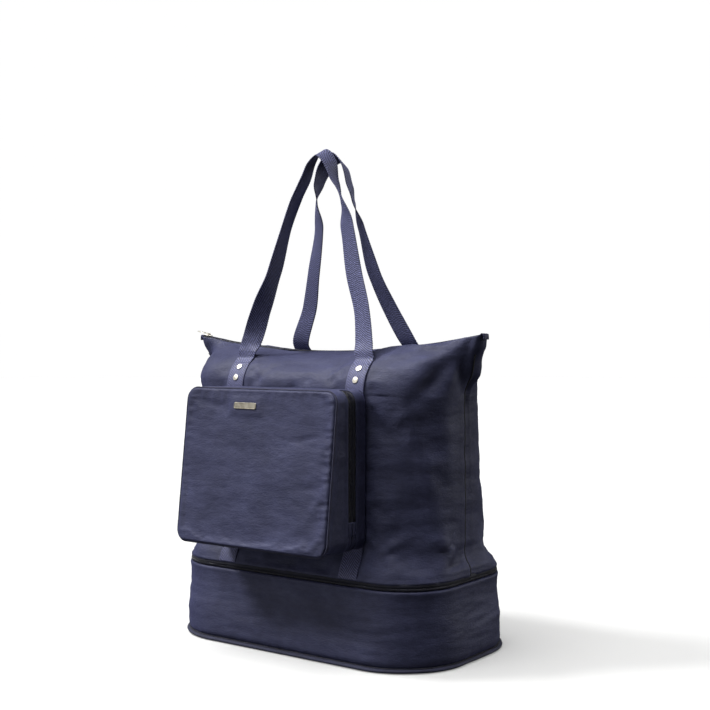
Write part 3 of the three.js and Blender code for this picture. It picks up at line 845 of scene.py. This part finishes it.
def expander_zip():
    tape = flat_ring("expander_tape", -0.3, ZIP_BAND_LOW + 2.4, HEM + 1.5, ZIP_TAPE)
    place(tape, "bag_body", "zip_tape", "upper_zip_tape")
    ring_teeth("expander_teeth_upper", ZIP_BAND_LOW - 0.1, 1.0, "bag_body", "upper_zip_teeth")
    lower_top = node_box("lower_zip_teeth")[1][2]
    ring_teeth("expander_teeth_lower", lower_top + 0.1, -1.0, "base", "lower_zip_teeth")


# ---- Webbing ------------------------------------------------------------------------------------

# Middle line of each loop, and the direction of its width in degrees from +X, seen from above.
FRONT_LOOP = [
    (-111, -92, 446, 6),
    (-107, -86, 462, 26),
    (-97, -75, 511, 62),
    (-80, -65, 566, 88),
    (-63, -54, 639, 102),
    (-50, -47, 680, 100),
    (-35, -42, 712, 92),
    (-24, -41, 736, 91),
    (-8, -40, 750, 94),
    (9, -41, 736, 101),
    (20, -42, 707, 112),
    (37, -47, 674, 130),
    (53, -54, 632, 160),
    (74, -65, 561, 169),
    (95, -75, 508, 166),
    (107, -86, 462, 172),
    (111, -92, 446, 178),
]
BACK_LOOP = [
    (-110, 47, 444, 180),
    (-106, 34, 458, 176),
    (-79, 23, 513, 168),
    (-61, 11, 569, 161),
    (-45, 4, 640, 150),
    (-42, -6, 680, 130),
    (-37, -6, 708, 108),
    (-25, -4, 734, 98),
    (-8, -3, 747, 92),
    (10, -4, 734, 94),
    (22, -6, 704, 100),
    (30, -6, 676, 118),
    (37, 4, 637, 142),
    (57, 11, 565, 160),
    (79, 23, 510, 168),
    (106, 34, 458, 172),
    (110, 47, 444, 180),
]
APEX_TILT = 25
HANDLE_STEPS = 820


def strap_curve(side):
    half_x, _, _, radius = section_at(SHOULDER)
    return roof_curve(side, STRAP_X / (half_x - radius))


def out_of_roof(side, t):
    up = bezier_tangent(strap_curve(side), t)
    return unit(np.array([0, -inwards(side) * up[2], inwards(side) * up[1]]))


def raised(side, x, t, height):
    """A point at this height over the roof, at place t of its curve."""
    point = bezier(strap_curve(side), t) + out_of_roof(side, t) * height
    return np.array([x, point[1], point[2]])


WEBBING_COLUMNS = 9
PICOT = 3.4


def webbing_rows(centres, across, width, along):
    """Points across a webbing strip, with the small loops of weft along both its edges."""
    spread = np.linspace(-1, 1, WEBBING_COLUMNS)
    spread[1], spread[-2] = -0.93, 0.93
    edge = np.abs(spread) > 0.99
    wave = 0.35 * np.sin(along * 2 * math.pi / PICOT)
    half = width / 2 + np.where(edge[None, :], wave[:, None], 0.0)
    return centres[:, None] + across[:, None] * (spread[None, :] * half)[..., None]


def strap_runs():
    for side in SIDES:
        height = SEWN + WEBBING
        out = np.array([0, -inwards(side), 0])
        for label, sign in ENDS:
            x = sign * STRAP_X
            low = [np.array([x, section_point(z, side, 0)[1], z]) + out * height
                   for z in np.arange(HEM + 1.6, SHOULDER, 4)]
            high = [raised(side, x, t, height) for t in np.linspace(0, STITCH - 0.004, 24)]
            centres = resampled(np.array(low + high), 1.1)
            up = unit(np.gradient(centres, axis=0))
            across = np.tile([inwards(side), 0, 0], (len(centres), 1))
            normals = unit(np.cross(across, up))
            rows = webbing_rows(centres, across, STRAP_WIDTH, travelled(centres))
            piece = solid_ribbon(
                f"strap_{side}_{label}", rows, normals[:, None], WEBBING, WEBBING_CLOTH, crown=0.3)
            place(piece, "bag_body", "webbing", f"strap_run_{side}_{label}")
            lines = []
            for edge in (-1, 1):
                line = centres + across * edge * (STRAP_WIDTH / 2 - 2.4) + normals * 0.15
                lines.append((line, normals))
            for t in (STITCH - 0.045, STITCH - 0.075):
                ends = np.array([raised(side, x + s, t, height + 0.2) for s in (-13.5, 13.5)])
                lines.append((ends, np.tile(out_of_roof(side, t), (2, 1))))
            stitches = stitch_lines(f"strap_stitches_{side}_{label}", lines)
            place(stitches, "bag_body", "webbing")


def stitch_lines(name, lines, length=2.8, gap=1.1, radius=0.32):
    """Rows of thread stitches. Each line is its points and the direction out of the cloth there."""
    verts, faces = [], []
    slices = [(-0.5, 0.35, -0.25), (-0.32, 0.9, 0.1), (0.32, 0.9, 0.1), (0.5, 0.35, -0.25)]
    corners = circle_points(5)

    def at(values, run, spot):
        return np.array([np.interp(spot, run, values[:, a]) for a in range(3)])

    for points, outs in lines:
        outs = np.broadcast_to(outs, points.shape)
        run = travelled(points)
        for middle in np.arange(length / 2, run[-1] - length / 2, length + gap):
            start, end = at(points, run, middle - length / 2), at(points, run, middle + length / 2)
            if np.linalg.norm(end - start) < 0.2 * length:
                continue
            along = unit(end - start)
            out = at(outs, run, middle)
            out = unit(out - along * (out @ along))
            side = np.cross(along, out)
            faces += capped_faces(len(slices), len(corners), len(verts))
            for share, size, lift in slices:
                centre = (start + end) / 2 + along * share * length + out * lift * radius
                for a, b in corners:
                    verts.append(centre + (side * a + out * b) * radius * size)
    return make_piece(name, verts, faces, THREAD)


def catmull(points, spot):
    """A point on a centripetal Catmull-Rom curve, spot counting its points."""
    k = min(int(spot), len(points) - 2)
    w = spot - k
    p1, p2 = points[k], points[k + 1]
    p0 = points[k - 1] if k > 0 else 2 * p1 - p2
    p3 = points[k + 2] if k + 2 < len(points) else 2 * p2 - p1
    gaps = [max(1e-4, np.linalg.norm(b - a) ** 0.5) for a, b in ((p0, p1), (p1, p2), (p2, p3))]
    first = (p1 - p0) / gaps[0] - (p2 - p0) / (gaps[0] + gaps[1]) + (p2 - p1) / gaps[1]
    second = (p2 - p1) / gaps[1] - (p3 - p1) / (gaps[1] + gaps[2]) + (p3 - p2) / gaps[2]
    first, second = first * gaps[1], second * gaps[1]
    c2 = -3 * p1 + 3 * p2 - 2 * first - second
    c3 = 2 * p1 - 2 * p2 + first + second
    return p1 + first * w + c2 * w**2 + c3 * w**3


def handle(side, loop):
    root = [raised(side, x, STITCH, SEWN + WEBBING / 2) for x in (-STRAP_X, STRAP_X)]
    after = [raised(side, x, STITCH + 0.08, 2 * SEWN + WEBBING / 2) for x in (-STRAP_X, STRAP_X)]
    middle = [np.array(p[:3], float) for p in loop]
    points = [root[0], after[0], *middle, after[1], root[1]]
    ends = [round(loop[0][3] / 180) * 180, round(loop[-1][3] / 180) * 180]
    turns = [ends[0], ends[0], *[p[3] for p in loop], ends[1], ends[1]]
    places = np.arange(HANDLE_STEPS + 1) / HANDLE_STEPS * (len(points) - 1)
    centres = np.array([catmull(points, p) for p in places])
    along = unit(np.gradient(centres, axis=0))
    apex = (len(points) - 1) / 2
    levels = []
    for p, tangent in zip(places, along):
        before = min(int(p), len(points) - 2)
        turn = math.radians(mix(turns[before], turns[before + 1], float(smooth(p - before))))
        level = np.array([math.cos(turn), math.sin(turn), 0])
        level = unit(level - tangent * (level @ tangent))
        lean = math.radians(APEX_TILT) * inwards(side) * max(0, 1 - abs(p - apex) / 3)
        levels.append(level * math.cos(lean) + np.cross(tangent, level) * math.sin(lean))
    levels = np.array(levels)
    normals = unit(np.cross(levels, along))
    rows = webbing_rows(centres + normals * WEBBING / 2, levels, STRAP_WIDTH, travelled(centres))
    piece = solid_ribbon(
        f"handle_webbing_{side}", rows, normals[:, None], WEBBING, WEBBING_CLOTH, crown=0.25)
    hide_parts(f"handle_{side}")
    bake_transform(piece)


def rivets():
    """Domed caps on the webbing, with a turned rim, and their washers inside the bag."""
    washer = [(0, -2.7), (4.4, -2.7), (4.4, -1.9), (1.6, -1.9), (1.6, 2.5)]
    rim = [(4.3, 2.5), (4.8, 2.75), (4.9, 3.15), (4.6, 3.55), (4.1, 3.7), (3.7, 3.62)]
    dome = [(3.2, 3.8), (2.2, 4.1), (1.1, 4.25), (0, 4.3)]
    around = np.array(circle_points(40))
    right = np.array([1.0, 0, 0])
    for side in SIDES:
        for label, sign in ENDS:
            for level, t in RIVETS.items():
                out = out_of_roof(side, t)
                centre = raised(side, sign * STRAP_X, t, 0)
                circle = around[:, :1] * right + around[:, 1:] * np.cross(out, right)
                rows = [centre + circle * max(r, 0.02) + out * h for r, h in washer + rim + dome]
                piece = loft_piece(f"rivet_cap_{side}_{label}_{level}", rows, METAL)
                place(piece, "bag_body", "metal", f"rivet_{side}_{label}_{level}")


# ---- Top zip ------------------------------------------------------------------------------------


def side_bindings():
    for label, sign in ENDS:
        heights = np.arange(HEM + 3, SHOULDER, 3.0)
        centres = np.array([[sign * (section_at(z)[0] - 12), 0, z] for z in heights])
        spread = np.linspace(-5, 5, 5)
        across = np.array([0, sign * 1.0, 0])
        rows = centres[:, None] + across * spread[None, :, None]
        rows[..., 0] += 0.5 * field(rows, (8, 8, 14), 3.0)
        normals = np.tile([float(sign), 0, 0], (len(rows), 1))[:, None]
        piece = solid_ribbon(f"seam_tape_{label}", rows, normals, 1.2, BINDING, crown=0.4)
        place(piece, "bag_body", "binding", f"side_binding_{label}")


def top_zip():
    xs = np.linspace(-TIP_X + 2.0, TIP_X - 2.0, 260)
    heights = zip_height(xs)
    slope = unit(np.gradient(np.column_stack([xs, np.zeros_like(xs), heights]), axis=0))
    for side in SIDES:
        away = np.array([0, -inwards(side), 0])
        near, far = 3.2, zip_edge(xs) - 0.9
        rows = np.array([[np.array([x, ZIP_Y, z + 0.3]) + away * d for d in np.linspace(near, reach, 5)]
                         for x, z, reach in zip(xs, heights, far)])
        rows[..., 2] += 0.35 * field(rows, (16, 16, 16), 2.0)
        if side == "front":
            rows = rows[:, ::-1]
        normals = unit(np.cross(rows[0, -1] - rows[0, 0], slope))[:, None]
        normals = normals * np.sign(normals[:1, :, 2:])
        tape = solid_ribbon(f"top_tape_{side}", rows, normals, 0.9, ZIP_TAPE)
        place(tape, "bag_body", "zip_tape", f"top_zip_tape_{side}")
        places = np.column_stack([xs, np.full_like(xs, ZIP_Y), heights])
        places[:, 0] += 0.45 if side == "front" else -0.45
        across = np.tile(away, (len(xs), 1))
        out = np.cross(slope, np.array([0, 1.0, 0])) * -1
        teeth = tooth_row(f"top_teeth_{side}", places, across, out, 1.8, 3.6, COIL)
        place(teeth, "bag_body", "zip_teeth", f"top_zip_teeth_{side}")
    for label, sign in ENDS:
        low, high = node_box(f"top_zip_end_{label}")
        heights = np.linspace(mix(low[2], high[2], 0.35), high[2] - 1.0, 12)
        rows = []
        for z in heights:
            bulge = 0.8 * math.sin(math.pi * (z - low[2]) / (high[2] - low[2]))
            rows.append([np.array([sign * (TIP_X + 0.4 + bulge), y, z])
                         for y in np.linspace(low[1], high[1], 7)[::-sign]])
        normals = np.tile([float(sign), 0, 0], (len(rows), 1))[:, None]
        tab = solid_ribbon(f"top_zip_tab_{label}", rows, normals, 1.5, NYLON, crown=0.3)
        place(tab, "bag_body", "nylon", f"top_zip_end_{label}")


# ---- Pocket -------------------------------------------------------------------------------------

POCKET_LOW, POCKET_HIGH = node_box("pocket_back_panel")
POCKET_X, _, POCKET_Z = (POCKET_LOW + POCKET_HIGH) / 2
POCKET_HALF_X, _, POCKET_HALF_Z = (POCKET_HIGH - POCKET_LOW) / 2
POCKET_RADIUS = 18.0
POCKET_BACK = POCKET_LOW[1]
HINGE_Y = (node_box("pocket_hinge_strip_rear")[0][1] + node_box("pocket_hinge_strip_front")[1][1]) / 2
ZIP_END = node_box("pocket_zip_teeth_rear")[0][2]
FRONT_BOTTOM = node_box("pocket_front_panel")[0][1]
FRONT_TOP = -190.0
POCKET_STEPS = (56, 10, 46)
EDGE_ROLL = 2.8
PLATE_STAND = 1.4


def pocket_front(z):
    return mix(FRONT_BOTTOM, FRONT_TOP, (z - POCKET_LOW[2]) / (POCKET_HIGH[2] - POCKET_LOW[2]))


def pocket_row(inset, depth):
    """Points round the pocket's outline, inset towards its middle; depth gives y at each height."""
    points, _ = rounded_outline(
        POCKET_HALF_X - inset, POCKET_HALF_Z - inset, max(2.0, POCKET_RADIUS - inset), *POCKET_STEPS)
    x, z = points[:, 0] + POCKET_X, points[:, 1] + POCKET_Z
    y = depth(z) if callable(depth) else np.full(len(z), float(depth))
    return np.column_stack([x, y, z])


def pocket_normals():
    _, normals = rounded_outline(POCKET_HALF_X, POCKET_HALF_Z, POCKET_RADIUS, *POCKET_STEPS)
    return np.column_stack([normals[:, 0], np.zeros(len(normals)), normals[:, 1]])


def pocket_plane(depth, roll, bulge, cells=(64, 88)):
    """A grid over the pocket's outline. Its edge rolls back by roll, and bulge is added outwards."""
    x, z = np.meshgrid(
        np.linspace(-1, 1, cells[0]) * POCKET_HALF_X, np.linspace(-1, 1, cells[1]) * POCKET_HALF_Z)
    r = POCKET_RADIUS
    dx = np.clip((np.abs(x) - (POCKET_HALF_X - r)) / r, 0, 1)
    dz = np.clip((np.abs(z) - (POCKET_HALF_Z - r)) / r, 0, 1)
    edge = np.minimum(POCKET_HALF_X - np.abs(x), POCKET_HALF_Z - np.abs(z))
    x = np.where(dx > 0, np.sign(x) * (POCKET_HALF_X - r + r * dx * np.sqrt(1 - dz**2 / 2)), x)
    z = np.where(dz > 0, np.sign(z) * (POCKET_HALF_Z - r + r * dz * np.sqrt(1 - dx**2 / 2)), z)
    rolled = np.where(edge < roll, roll - np.sqrt(np.maximum(roll**2 - (roll - edge) ** 2, 0)), 0)
    height = z + POCKET_Z
    y = depth(height) if callable(depth) else np.full(z.shape, float(depth))
    crown = bulge * np.sqrt(np.clip(edge / 70, 0, 1))
    return np.stack([x + POCKET_X, y + rolled - crown, height], axis=-1), edge


def pocket_face():
    points, edge = pocket_plane(pocket_front, EDGE_ROLL, 3.0, (84, 118))
    row_places, column_places = every(2, len(points)), every(2, points.shape[1])
    coarse = points[row_places][:, column_places]
    sewn = edge[row_places][:, column_places] < 4
    moves = simulated(coarse, sewn, False, slack=0.008, pressure=0.6, gravity=0.4, frames=20, cap=3.0)
    points = points + spread_moves(moves, row_places, column_places, points.shape)
    x, z = points[..., 0], points[..., 2]
    inside = np.clip(edge / 14, 0, 1)
    height = inside * (1.6 * field(points, (80, 60, 55), 8.0) + 0.7 * field(points, (36, 40, 17), 2.5))
    height += inside * 0.3 * field(points, (18, 18, 7), 6.5)
    right, left = POCKET_HIGH[0] - x, x - POCKET_LOW[0]
    for away, seed, depth in ((right, 1.0, 1.9), (left, 5.0, 1.0)):
        pucker = field(np.stack([z * 0, z * 0, z], axis=-1), (9, 9, 7.5), seed)
        height += depth * pucker * np.exp(-(((away - 7) / 9) ** 2)) * np.clip(edge / 5, 0, 1)
    for fold in POCKET_FOLDS:
        height += crease(points, *fold)
    points = points + np.array([0, -1.0, 0]) * height[..., None]
    low, high = node_box("name_plate")
    away = np.abs(points - (low + high) / 2) - (high - low) / 2
    under_plate = smooth(1 - (np.maximum(away[..., 0], away[..., 2]) - 3) / 12)
    points[..., 1] = mix(points[..., 1], pocket_front(points[..., 2]) - PLATE_STAND, under_plate)
    piece = sheet_piece("pocket_face", points, NYLON, thickness=0.9)
    place(piece, "pocket_lid", "nylon", "pocket_front_panel")


# How far the pocket's zip tapes reach from the slot.
ZIP_FAR = 9.4


def pocket_band(name, rows, body, slot, node, material, wobble, seed):
    """A cloth band round the pocket through the given rows, from front to back."""
    points = np.array(rows)
    out = pocket_normals()[None]
    height = wobble * field(points, (26, 16, 26), seed) + 0.5 * wobble * field(points, (8, 20, 8), seed + 3)
    ends = np.linspace(0, 1, len(points))[:, None]
    height = height * np.sin(math.pi * ends) ** 0.6
    piece = sheet_piece(name, points + out * height[..., None], material, True, 0.8)
    return place(piece, body, slot, node)


def front_seam(z):
    return pocket_front(z) + EDGE_ROLL


def front_depth(t):
    """Where each height of the lid's side is, from its front seam at t 0 to the zip at 1."""
    return lambda z: mix(front_seam(z), HINGE_Y - ZIP_FAR, t)


def pocket_sides():
    rows = []
    for t in np.linspace(0, 1, 20):
        pinch = 0.6 * math.exp(-((t - 0.08) / 0.07) ** 2) + 1.3 * math.exp(-((t - 0.93) / 0.06) ** 2)
        rows.append(pocket_row(0.2 + 1.6 * math.sin(math.pi * t) - pinch, front_depth(t)))

    seam = [(0.2 + 1.3 * a, 1.3 * b) for a, b in circle_points(8)]
    piping = np.array([pocket_row(-out, front_seam) + np.array([0, depth, 0]) for out, depth in seam])
    piping[..., 1] += 0.3 * field(piping, (7, 7, 7), 1.0)
    place(ring_piece("pocket_seam", piping, BINDING), "pocket_lid", "binding")
    pocket_band("pocket_side_front", rows, "pocket_lid", "nylon", "pocket_front_band", NYLON, 1.5, 3.0)

    rear_zip = HINGE_Y + ZIP_FAR
    rows = [pocket_row(0.2 + 0.8 * math.sin(math.pi * t), mix(rear_zip, POCKET_BACK - 0.3, t))
            for t in np.linspace(0, 1, 9)]
    pocket_band("pocket_side_rear", rows, "bag_body", "nylon", "pocket_rear_band", NYLON, 1.0, 8.0)

    back, _ = pocket_plane(POCKET_BACK - 0.2, 0.5, 0.0, (40, 40))
    back[..., 1] -= 0.5 * np.abs(field(back, (50, 50, 12), 3.0)) + 0.2
    # The pocket's back panel takes the darker copy of the nylon, painted shade for the inside of the
    # pocket.
    piece = sheet_piece("pocket_back_cloth", back, SHADED_NYLON, thickness=0.7)
    place(piece, "bag_body", "nylon", "pocket_back_panel")


def zip_stretch(above):
    """Index list of the pocket's outline above or below the ends of its zip, in order."""
    z = pocket_row(0, 0)[:, 2]
    keep = z > ZIP_END if above else z < ZIP_END - 0.5
    first = next(k for k in range(len(z)) if keep[k] and not keep[k - 1])
    return [(first + k) % len(z) for k in range(keep.sum())]


def pocket_zip():
    out = pocket_normals()
    above, below = zip_stretch(True), zip_stretch(False)
    for side, sign, body in (("rear", 1.0, "bag_body"), ("front", -1.0, "pocket_lid")):
        line = pocket_row(1.2, HINGE_Y)[above]
        across = np.tile([0, sign, 0], (len(line), 1))
        rows = line[:, None] + across[:, None] * np.linspace(3.4, ZIP_FAR + 1.2, 4)[None, :, None]
        if sign > 0:
            rows = rows[:, ::-1]
        tape = solid_ribbon(f"pocket_tape_{side}", rows, out[above][:, None], 0.9, ZIP_TAPE)
        place(tape, body, "zip_tape", f"pocket_zip_tape_{side}")
        teeth = tooth_row(f"pocket_teeth_{side}", line, across, out[above], 1.7, 3.7, COIL)
        place(teeth, body, "zip_teeth", f"pocket_zip_teeth_{side}")
        line = pocket_row(0.4, HINGE_Y)[below]
        across = np.tile([0, sign, 0], (len(line), 1))
        rows = line[:, None] + across[:, None] * np.linspace(0.5, ZIP_FAR + 0.6, 5)[None, :, None]
        rows += out[below][:, None] * (0.6 * field(rows, (18, 18, 18), 2.0))[..., None]
        if sign > 0:
            rows = rows[:, ::-1]
        strip = solid_ribbon(f"pocket_foot_{side}", rows, out[below][:, None], 0.9, NYLON)
        place(strip, body, "nylon", f"pocket_hinge_strip_{side}")


def pocket_zip_stops():
    """Folded tapes sewn over the two ends of the pocket's zip, split at the hinge."""
    for label, sign in ENDS:
        x = POCKET_X + sign * POCKET_HALF_X + sign * 0.6
        for part, turn, body in (("rear", 1, "bag_body"), ("front", -1, "pocket_lid")):
            heights = np.linspace(ZIP_END - 17, ZIP_END + 3, 9)
            spread = np.linspace(0.5, 8.6, 5) * turn
            rows = np.array([[[x, HINGE_Y + y, z] for y in spread] for z in heights])
            rows[..., 0] += 0.5 * field(rows, (6, 6, 6), 3.0)
            if sign * turn < 0:
                rows = rows[:, ::-1]
            normals = np.tile([sign, 0.0, 0.0], (len(rows), 1))[:, None]
            piece = solid_ribbon(f"pocket_stop_{part}_{label}", rows, normals, 1.0, NYLON, crown=0.3)
            place(piece, body, "nylon")


def name_plate():
    """A plain metal plate with a raised rim."""
    low, high = node_box("name_plate")
    cx, _, cz = (low + high) / 2
    hx, _, hz = (high - low) / 2
    levels = [(0.4, 0.0), (0.0, 0.3), (0.0, 0.9), (0.4, 1.3), (1.0, 1.3), (1.3, 0.9), (2.2, 0.9)]
    rows = []
    for inset, lift in levels:
        points, _ = rounded_outline(hx - inset, hz - inset, max(0.6, 2.4 - inset), 12, 6, 3)
        x, z = points[:, 0] + cx, points[:, 1] + cz
        rows.append(np.column_stack([x, pocket_front(z) - PLATE_STAND - lift, z]))
    place(loft_piece("plain_plate", rows, PLATE_METAL, flat=True), "pocket_lid", "metal", "name_plate")


# ---- Sliders ------------------------------------------------------------------------------------


def outline_prism(outline, low, high, basis, origin):
    """Vertices and faces of a flat outline raised from low to high along the third axis of basis."""
    verts = [origin + basis[0] * a + basis[1] * b + basis[2] * h for h in (low, high) for a, b in outline]
    return verts, capped_faces(2, len(outline))


def combined(name, parts, material):
    verts, faces = [], []
    for part_verts, part_faces in parts:
        faces += [tuple(v + len(verts) for v in face) for face in part_faces]
        verts += part_verts
    return make_piece(name, verts, faces, material)


def slider(name, spot, along, out, slider_body, pull_body):
    """A zip slider with a tapered body and bridge, and its pull, lying along the chain."""
    spot, along, out = (np.array(v, float) for v in (spot, along, out))
    side = np.cross(out, along)
    basis = (along, side, out)
    shape = [(-7.4, -2.7), (-5.6, -3.1), (2.0, -4.3), (6.0, -4.3), (7.3, -2.6), (7.5, 0),
             (7.3, 2.6), (6.0, 4.3), (2.0, 4.3), (-5.6, 3.1), (-7.4, 2.7)]
    neck = [(4.6, -0.4), (7.2, -0.4), (7.2, 0.4), (4.6, 0.4)]
    parts = [outline_prism(shape, 1.75, 3.0, basis, spot),
             outline_prism(shape, -3.0, -1.75, basis, spot),
             outline_prism(neck, -2.4, 2.4, basis, spot)]
    for sign in (-1, 1):
        upright = [(-2.0, 1.9), (2.0, 1.9), (2.0, 5.2), (1.4, 6.2), (-1.4, 6.2), (-2.0, 5.2)]
        turned = (along, out, -side * sign)
        parts.append(outline_prism(upright[::sign], -3.1, -2.0, turned, spot))
    body_piece = bevelled(combined(f"{name}_slider_metal", parts, METAL), 0.35, 2)
    place(body_piece, slider_body, "metal", f"{name}_slider")

    pin = spot + out * 5.0
    angles = np.linspace(-math.pi / 2, math.pi / 2, 9)
    tab = [(22.0 + 2.0 * math.cos(a), 3.4 * math.sin(a)) for a in angles]
    tab += [(7.0, 3.5), (5.2, 1.6), (-0.6, 1.55), (-1.0, 0.8)]
    tab += [(-1.0, -0.8), (-0.6, -1.55), (5.2, -1.6), (7.0, -3.5)]
    rod = [(0.75 * a, 0.75 * b) for a, b in circle_points(10)]
    pull_parts = [outline_prism(tab, -0.55, 0.55, basis, pin),
                  outline_prism(rod, -1.9, 1.9, (along, out, -side), pin)]
    pull = bevelled(combined(f"{name}_pull_metal", pull_parts, METAL), 0.3, 2)
    place(pull, pull_body, "metal", f"{name}_pull")


TOP_SLIDER_X = -262.0


def sliders():
    lean = math.asin(TOP_SLIDER_X / ZIP_RADIUS)
    slider("top_zip", (TOP_SLIDER_X, ZIP_Y, float(zip_height(TOP_SLIDER_X))),
           (-math.cos(lean), 0, -math.sin(lean)), (-math.sin(lean), 0, math.cos(lean)),
           "top_slider", "top_pull")
    z = node_middle("pocket_zip_slider")[2]
    slider("pocket_zip", (POCKET_LOW[0] + 1.2, HINGE_Y, z), (0, 0, -1), (-1, 0, 0),
           "pocket_slider", "pocket_pull")
    x, _, z = node_middle("expander_zip_slider")
    slider("expander_zip", (x, RING_Y, z), (-1, 0, 0), (0, 1, 0), "expander_slider", "expander_pull")


# ---- Studio -------------------------------------------------------------------------------------

CAMERA_PLACE = (1.1011, -1.4680, 0.4587)
CAMERA_TURN, CAMERA_DIP, CAMERA_LENS = 0.631, 0.0109, 59.52
FLOOR_HALF = 14000


def studio():
    data = bpy.data.cameras.new("camera")
    data.lens, data.sensor_width = CAMERA_LENS, 36
    camera = bpy.data.objects.new("camera", data)
    camera.location = CAMERA_PLACE
    camera.rotation_euler = (math.pi / 2 - CAMERA_DIP, 0, CAMERA_TURN)
    bpy.context.scene.collection.objects.link(camera)
    bpy.context.scene.camera = camera

    for name, towards, strength, angle in (
        ("key", (-0.60, -0.40, 0.78), 2.8, 12),
        ("overhead", (-0.1, -0.25, 1.0), 3.3, 45),
        ("fill", (-0.40, -1.0, 0.15), 0.9, 60),
        ("rim", (0.65, 0.8, 0.3), 0.9, 40),
    ):
        light = bpy.data.lights.new(name, "SUN")
        light.energy, light.angle = strength, math.radians(angle)
        lamp = bpy.data.objects.new(name, light)
        lamp.rotation_euler = Vector(towards).to_track_quat("Z", "Y").to_euler()
        bpy.context.scene.collection.objects.link(lamp)

    world = bpy.data.worlds.new("studio")
    world.use_nodes = True
    world.node_tree.nodes["Background"].inputs["Color"].default_value = (1, 1, 1, 1)
    world.node_tree.nodes["Background"].inputs["Strength"].default_value = 0.06
    bpy.context.scene.world = world
    bpy.context.scene.view_settings.view_transform = "Standard"

    floor_finish = Finish("floor", 0.9)
    floor_finish.shader.inputs["Base Color"].default_value = (0.5, 0.5, 0.495, 1)
    floor_finish.shader.inputs["Emission Color"].default_value = (1, 1, 1, 1)
    floor_finish.shader.inputs["Emission Strength"].default_value = 0.26
    corners = [(x * FLOOR_HALF, y * FLOOR_HALF, 0) for x, y in ((-1, -1), (1, -1), (1, 1), (-1, 1))]
    floor = make_piece("floor", corners, [(0, 1, 2, 3)], floor_finish.material)
    floor.visible_diffuse = False
    floor.visible_glossy = False

    bpy.ops.mesh.primitive_uv_sphere_add(segments=48, ring_count=24, radius=13.5)
    backdrop = bpy.context.object
    backdrop.name = "backdrop"
    glow = Finish("backdrop")
    glow.shader.inputs["Base Color"].default_value = (0, 0, 0, 1)
    glow.shader.inputs["Emission Color"].default_value = (1, 1, 1, 1)
    glow.shader.inputs["Emission Strength"].default_value = 1.0
    backdrop.data.materials.append(glow.material)
    backdrop.visible_diffuse = False
    backdrop.visible_glossy = False
    backdrop.visible_transmission = False
    backdrop.visible_shadow = False


# ---- Making it ----------------------------------------------------------------------------------

studio()
_, BODY_POINTS, BODY_LABELS = body_cloth()
side_seams(BODY_POINTS, BODY_LABELS)
expansion_cloth()
base_pieces()
expander_zip()
strap_runs()
handle("front", FRONT_LOOP)
handle("back", BACK_LOOP)
rivets()
side_bindings()
top_zip()
pocket_face()
pocket_sides()
pocket_zip()
pocket_zip_stops()
name_plate()
sliders()
